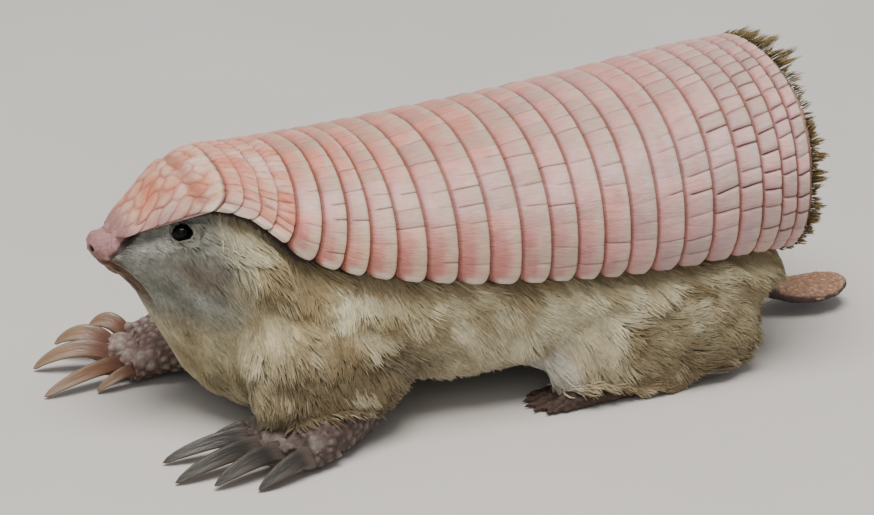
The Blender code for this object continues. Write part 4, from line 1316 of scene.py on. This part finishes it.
class Locks:
    """Tapered locks of hair: each a closed three-sided spike along a curved line from its root."""

    def __init__(self, steps, roots, normals, flows, lengths, girths, heights):
        self.roots, self.normals, self.flows, self.girths = roots, normals, flows, girths
        self.rings = np.array(steps)
        self.steps = np.concatenate((steps, [1.0]))[None, :, None]
        rise = 1.0 - (1.0 - self.steps) ** 2.2
        self.lines = (
            roots[:, None] + flows[:, None] * lengths[:, None, None] * self.steps
            + normals[:, None] * heights[:, None, None] * rise
        )

    def wave(self, size, turns, source):
        """Bends each lock from side to side, more towards its tip."""
        sides = np.cross(self.flows, self.normals)
        phase = source.uniform(0.0, 2.0 * math.pi, len(self.roots))[:, None]
        swing = np.sin(2.0 * math.pi * turns[:, None] * self.steps[..., 0] + phase) - np.sin(phase)
        amount = size[:, None] * swing * (0.3 + 0.7 * self.steps[..., 0])
        self.lines = self.lines + sides[:, None] * amount[..., None]

    def gather(self, size, pull, source):
        """Draws the tips of neighbouring locks together, so that they hang in tufts about size across."""
        order = source.permutation(len(self.roots))
        leaders = order[spread_out(self.roots[order], size)]
        tree = kd_tree(self.roots[leaders])
        nearest = np.array([tree.find(Vector(root))[1] for root in self.roots])
        shift = self.lines[leaders, -1][nearest] - self.lines[:, -1]
        self.lines = self.lines + shift[:, None] * self.steps**1.5 * pull[:, None, None]
        return nearest, len(leaders)

    def shape(self):
        """Points of every lock, and normals for its shading, which keep mostly to the skin's."""
        runs = unit(np.gradient(self.lines, axis=1))[:, :-1]
        sides = unit(np.cross(runs, self.normals[:, None]))
        ups = np.cross(sides, runs)
        girth = (self.girths[:, None] * smooth(LOCK_GIRTH, self.rings))[..., None, None]
        corner = LOCK_CORNERS[:, None]
        ways = sides[:, :, None] * np.cos(corner) + ups[:, :, None] * np.sin(corner) * 0.6
        rings = (self.lines[:, :-1, None] + girth * ways).reshape(len(self.roots), -1, 3)
        around = ways.reshape(len(self.roots), -1, 3) * (1.0 - SOFTNESS) + self.normals[:, None] * SOFTNESS
        points = np.concatenate((rings, self.lines[:, -1:]), 1)
        return points, np.concatenate((around, self.normals[:, None]), 1)


def soft_normals(points, triangles, shading, ups):
    """Normals for the corners of each lock's triangles: the soft ones, but the underside's own below."""
    a, b, c = (points[:, triangles[:, k]] for k in range(3))
    facing = unit(np.cross(b - a, c - a))
    under = np.sum(facing * ups[:, None], -1) < -0.2
    return np.where(under[..., None, None], facing[:, :, None], unit(shading[:, triangles])).reshape(-1, 3)


def add_locks(name, locks, root_tints, tip_tints, places, slot, stands_for=(), soft=True):
    """Makes the locks into pieces small enough each, with the places of their roots on the skin's unwrap."""
    points, shading = locks.shape()
    points[..., 2] = np.maximum(points[..., 2], LOCK_LOW)
    share = np.concatenate((np.repeat(locks.rings, 3), [1.0]))
    across = np.concatenate((np.tile((0.0, 0.5, 1.0), len(locks.rings)), [0.5]))
    one = lock_triangles(len(locks.rings))
    tints = mix(root_tints[:, None], tip_tints[:, None], np.tile(share**0.8, (len(points), 1)))
    unwrapped = places[:, None] + (np.stack((across, share), 1) * BAKE_PATCH - BAKE_PATCH / 2)
    pieces = math.ceil(len(points) / (PIECE_TRIANGLES // len(one)))
    for k, chosen in enumerate(np.array_split(np.arange(len(points)), pieces), 1):
        base = np.arange(len(chosen))[:, None, None] * points.shape[1]
        piece = add_piece(
            f"{name}_{k}" if pieces > 1 else name, points[chosen], (one + base).reshape(-1, 3), tints[chosen],
            slot, stands_for if k == 1 else (), [("OFBake", unwrapped[chosen])],
        )
        if soft:
            corners = soft_normals(points[chosen], one, shading[chosen], locks.normals[chosen])
            piece.data.normals_split_custom_set(corners)


def owned_by(owners, nodes):
    return np.isin(owners, [FLESH.index(node) for node in nodes])


def unwrap(points, owners):
    """Places on an unwrap of the skin: the body round its long axis, and each leg round its own, in tiles."""
    x, station, z = points.T
    turn = np.arctan2(x, AXIS_HEIGHT - z) / (2.0 * math.pi) * 0.96
    places = stacked(0.5 + turn, 0.02 + station / BODY_LENGTH * 0.56)
    for tile, node in enumerate(LIMBS):
        own = owned_by(owners, [node])
        centre = to_animal(middle(node))
        turn = np.arctan2(x - centre[0], station - centre[1]) / (2.0 * math.pi) * 0.22
        tiled = stacked(0.125 + 0.25 * tile + turn, 0.62 + z / LEG_HEIGHT * 0.36)
        places[own] = tiled[own]
    return places


def flow_of(points, owners):
    """The way the coat lies at each point, before it is laid along the skin."""
    _, station, z = points.T
    belly = fade(z - smooth(BELLY, station), 5.0, 1.5) * fade(station, 14.0, 20.0) * ~owned_by(owners, LIMBS)
    return painted(
        np.broadcast_to((0.0, 0.45, -1.0), points.shape),
        ((0.0, 1.0, -0.55), fade(station, 22.0, 8.0)),
        ((0.0, 0.95, -0.75), between(station, 34.0, 48.0, 96.0, 104.0)),
        ((0.0, 1.0, 0.0), belly),
    )


def sample_roots(skin, normals, density, source):
    """Roots spread over the coated skin, as many to the square millimetre as density says."""
    a, b, c = (skin.points[skin.triangles[:, k]] for k in range(3))
    areas = np.linalg.norm(np.cross(b - a, c - a), axis=1) / 2.0
    weight = areas * density[skin.triangles].mean(1)
    count = int(weight.sum())
    chosen = source.choice(len(areas), count, p=weight / weight.sum())
    u, v = source.uniform(size=(2, count))
    u, v = np.where(u + v > 1.0, 1.0 - u, u), np.where(u + v > 1.0, 1.0 - v, v)
    corners = skin.triangles[chosen]
    shares = np.stack((1.0 - u - v, u, v), 1)[..., None]
    roots = (skin.points[corners] * shares).sum(1)
    return roots, unit((normals[corners] * shares).sum(1)), skin.owner[corners[:, 0]]


def shortness(points, owners):
    """1 where the hair is shortest, over the face, down to 0 behind the head."""
    return fade(points[:, 1], 20.0, 11.0) * owned_by(owners, ["head"])


def coat_density(skin):
    """Locks to the square millimetre: thick where the coat shows, thinner under the belly."""
    points = skin.points
    _, station, z = points.T
    bare_edge = 0.35 + 0.75 * fade(station, 2.5, 5.5) - 0.75 * fade(station, 25.0, 33.0)
    below_edge = skin.on("foreleg", "hindleg") | (below_shell(points) > bare_edge)
    density = DENSITY + (FACE_DENSITY - DENSITY) * shortness(points, skin.owner)
    density = np.where((z < smooth(BELLY, station) + 2.5) & skin.on("neck", "trunk"), BELLY_DENSITY, density)
    density = density * skin.on(*COATED) * below_edge * fade(station, 2.4, 3.0)
    density = density * (1.0 - skin.on("head") * fade(lip_share(points), 0.2, 0.7))
    density = density * (1.0 - skin.on("foreleg") * fade(z, 7.2, 5.0))
    for side, sign in SIDES:
        density = density * fade(eye_distance(points, side, sign)[0], 1.3, 1.5)
    return density * 1.0


def add_coat(skin, normals):
    """The coat: short locks on the face, which need fewer rings, and long ones behind."""
    source = np.random.default_rng(COAT_SEED)
    roots, ups, owners = sample_roots(skin, normals, coat_density(skin), source)
    brief = shortness(roots, owners)
    for name, steps, chosen in (("coat_face", SHORT_STEPS, brief >= 0.5), ("coat", LONG_STEPS, brief < 0.5)):
        add_hair(name, steps, roots[chosen], ups[chosen], owners[chosen], brief[chosen], source)


def add_hair(name, steps, roots, ups, owners, brief, source):
    """Locks of the coat over the roots, shorter and finer where brief is 1."""
    count = len(roots)
    _, station, z = roots.T
    flows = flow_of(roots, owners)
    flows = unit(flows - ups * np.sum(flows * ups, 1, keepdims=True))
    drift = 0.5 * mottle(roots, 8.0, 31) + source.normal(0.0, 0.13, count)
    flows = unit(flows + np.cross(ups, flows) * (drift * (1.0 - 0.6 * brief))[:, None])
    beside_eye = sum(fade(eye_distance(roots, side, sign)[0], 5.0, 2.0) for side, sign in SIDES)
    brief = np.maximum(brief, beside_eye)
    lengths = 5.2 - 3.9 * brief - 0.9 * owned_by(owners, LIMBS) - 0.45 * beside_eye
    lengths = lengths * source.uniform(0.7, 1.2, count) * (1.0 - 0.35 * fade(z, 5.0, 1.5))
    girths = (0.185 - 0.105 * brief) * source.uniform(0.7, 1.25, count)
    lengths *= 1.0 - 0.45 * owned_by(owners, FORELEGS) * fade(z, 11.0, 7.5)
    heights = (1.0 - 0.75 * brief - 0.12 * beside_eye) * source.uniform(0.5, 1.05, count)
    heights = heights * (1.0 + 0.25 * mottle(roots, 4.0, 32))
    locks = Locks(steps, roots, ups, flows, lengths, girths, heights)
    locks.wave(0.26 * (1.0 - 0.8 * brief), source.uniform(0.5, 1.1, count), source)
    wide_tuft, small_tuft = TUFT_SIZES
    locks.gather(wide_tuft, 0.22 * (1.0 - brief), source)
    pull = np.clip(source.normal(0.38, 0.15, count), 0.05, 0.9) * (1.0 - 0.6 * brief)
    tuft, tufts = locks.gather(small_tuft, pull, source)
    tone = source.normal(0.0, 1.0, tufts)[tuft]
    shade = 1.0 + 0.03 * tone + source.normal(0.0, 0.02, count) + 0.03 * mottle(roots, 2.5, 33)
    tints = coat_tints(roots) * shade[:, None]
    streak = (tone > 1.3) & (station > 16.0) | (source.uniform(size=count) > 0.96)
    # roots darker and tips paler: partly the hair's own colour, partly painted shade deep in the coat
    tips = mix(tints * 1.07, STREAK_PALE, streak * 0.45 * (1.0 - 0.5 * brief))
    add_locks(name, locks, tints * 0.91, tips, unwrap(roots, owners), "coat")


# ---- bristles


BRISTLE_SEED = 55
BRISTLE_ROOTS = ((70, 56, 40), (104, 86, 56))
BRISTLE_TIPS = ((112, 92, 58), (176, 152, 104))
TOP_BRISTLES = (150, 136, 90)


def add_fringe():
    """Bristles that stand out behind the shell's rear edge, in uneven spikes."""
    source = np.random.default_rng(BRISTLE_SEED)
    count = BRISTLES
    half_turn = source.uniform(-1.0, 1.0, count)
    thickness = smooth(FRINGE_THICKNESS, np.abs(half_turn)) + 0.25 * mottle(half_turn[:, None], 0.06, 56)
    half_turn = half_turn[source.uniform(size=count) < thickness]
    count = len(half_turn)
    from_top = np.abs(half_turn)
    roots = rim_point(half_turn, source.uniform(-0.9, -0.1, count), source.uniform(0.0, 0.4, count))
    flare = smooth(FRINGE_FLARE, from_top) + 0.2
    reach = smooth(FRINGE_REACH, from_top) + 0.4
    outward = unit(rim_point(half_turn, 1.0, 0.0) - rim_point(half_turn, 0.0, 0.0))
    lean = source.normal(0.0, 0.25, count) + 0.35 * np.sin(half_turn * 60.0)
    rearward = np.array((0.0, 1.0, 0.0))
    sideways = np.cross(outward, rearward)
    ways = unit(outward * flare[:, None] + reach[:, None] * rearward + sideways * lean[:, None])
    uneven = np.clip(0.75 + 0.3 * mottle(half_turn[:, None], 0.05, 57), 0.3, 1.1)
    lengths = np.hypot(flare, reach) * source.uniform(0.4, 1.05, count) * uneven
    locks = Locks(LONG_STEPS, roots, outward, ways, lengths, source.uniform(0.04, 0.09, count), 0.2 * lengths)
    locks.wave(np.full(count, 0.12), np.full(count, 0.5), source)
    locks.gather(1.5, np.clip(source.normal(0.55, 0.2, count), 0.0, 0.9), source)
    dark, light = (mix(*ends, source.uniform(size=count)) for ends in (BRISTLE_ROOTS, BRISTLE_TIPS))
    light = mix(light, TOP_BRISTLES, fade(from_top, 0.2, 0.1) * 0.6)
    places = stacked(0.5 + half_turn * 0.48, 0.6)
    add_locks("bristles", locks, dark, light, places, "bristle", ["rump_fringe"], soft=False)


# ---- stage


FLOOR_SIZE = 3.0
FLOOR_COLOUR = (203, 198, 192)
SKY_COLOUR = (0.93, 0.96, 1.0, 1.0)
SKY_STRENGTH = 0.38
LAMP_SIZE = 0.7
LAMP_AIM = Vector((0.0, 0.0, 0.02))
LAMPS = (
    ("key", (0.2, -0.1, 0.95), 13.0, (1.0, 0.98, 0.95)),
    ("fill", (0.8, -0.5, 0.5), 1.2, (0.95, 0.97, 1.0)),
)
CAMERA_TURN = math.radians(22.5)  # ahead of square to the left side
CAMERA_RISE = math.radians(22.0)
CAMERA_DISTANCE = 0.7
CAMERA_AIM = np.array((0.0, 55.31, 18.0))
LENS = 190.3
SENSOR_WIDTH = 36.0


def add_stage():
    """A plain pale floor with a faint unevenness."""
    bpy.ops.mesh.primitive_plane_add(size=FLOOR_SIZE)
    floor = bpy.context.object
    floor.name = "floor"
    tree = Tree("pale_floor", 0.7)
    plain = tree.add("ShaderNodeRGB")
    plain.outputs[0].default_value = (*linear(FLOOR_COLOUR), 1.0)
    tree.colour(plain.outputs[0], [tree.spread(tree.noise(tree.places(), 60.0), 0.97, 1.03)])
    floor.data.materials.append(tree.material)


def place_looking(thing, place, way):
    thing.location = place
    thing.rotation_euler = way.to_track_quat("-Z", "Y").to_euler()
    bpy.context.scene.collection.objects.link(thing)


def add_lamp(name, place, power, colour):
    data = bpy.data.lights.new(name, "AREA")
    data.shape = "DISK"
    data.size = LAMP_SIZE
    data.energy = power
    data.color = colour
    place_looking(bpy.data.objects.new(name, data), place, LAMP_AIM - Vector(place))


def add_camera():
    """Looks at the left side from in front and above, with a long lens."""
    level = math.cos(CAMERA_RISE)
    toward = Vector((math.cos(CAMERA_TURN) * level, -math.sin(CAMERA_TURN) * level, math.sin(CAMERA_RISE)))
    data = bpy.data.cameras.new("camera")
    data.lens = LENS
    data.sensor_width = SENSOR_WIDTH
    camera = bpy.data.objects.new("camera", data)
    place_looking(camera, Vector(to_room(CAMERA_AIM)) + toward * CAMERA_DISTANCE, -toward)
    bpy.context.scene.camera = camera


def add_world():
    world = bpy.data.worlds.new("studio")
    bpy.context.scene.world = world
    world.use_nodes = True
    background = world.node_tree.nodes["Background"]
    background.inputs["Color"].default_value = SKY_COLOUR
    background.inputs["Strength"].default_value = SKY_STRENGTH


def main():
    add_shell()
    skin, normals = add_skin()
    for side, sign in SIDES:
        add_eye(side, sign)
        for number in CLAWS:
            add_claw(side, number)
    add_coat(skin, normals)
    add_fringe()
    add_world()
    add_stage()
    for lamp in LAMPS:
        add_lamp(*lamp)
    add_camera()


main()
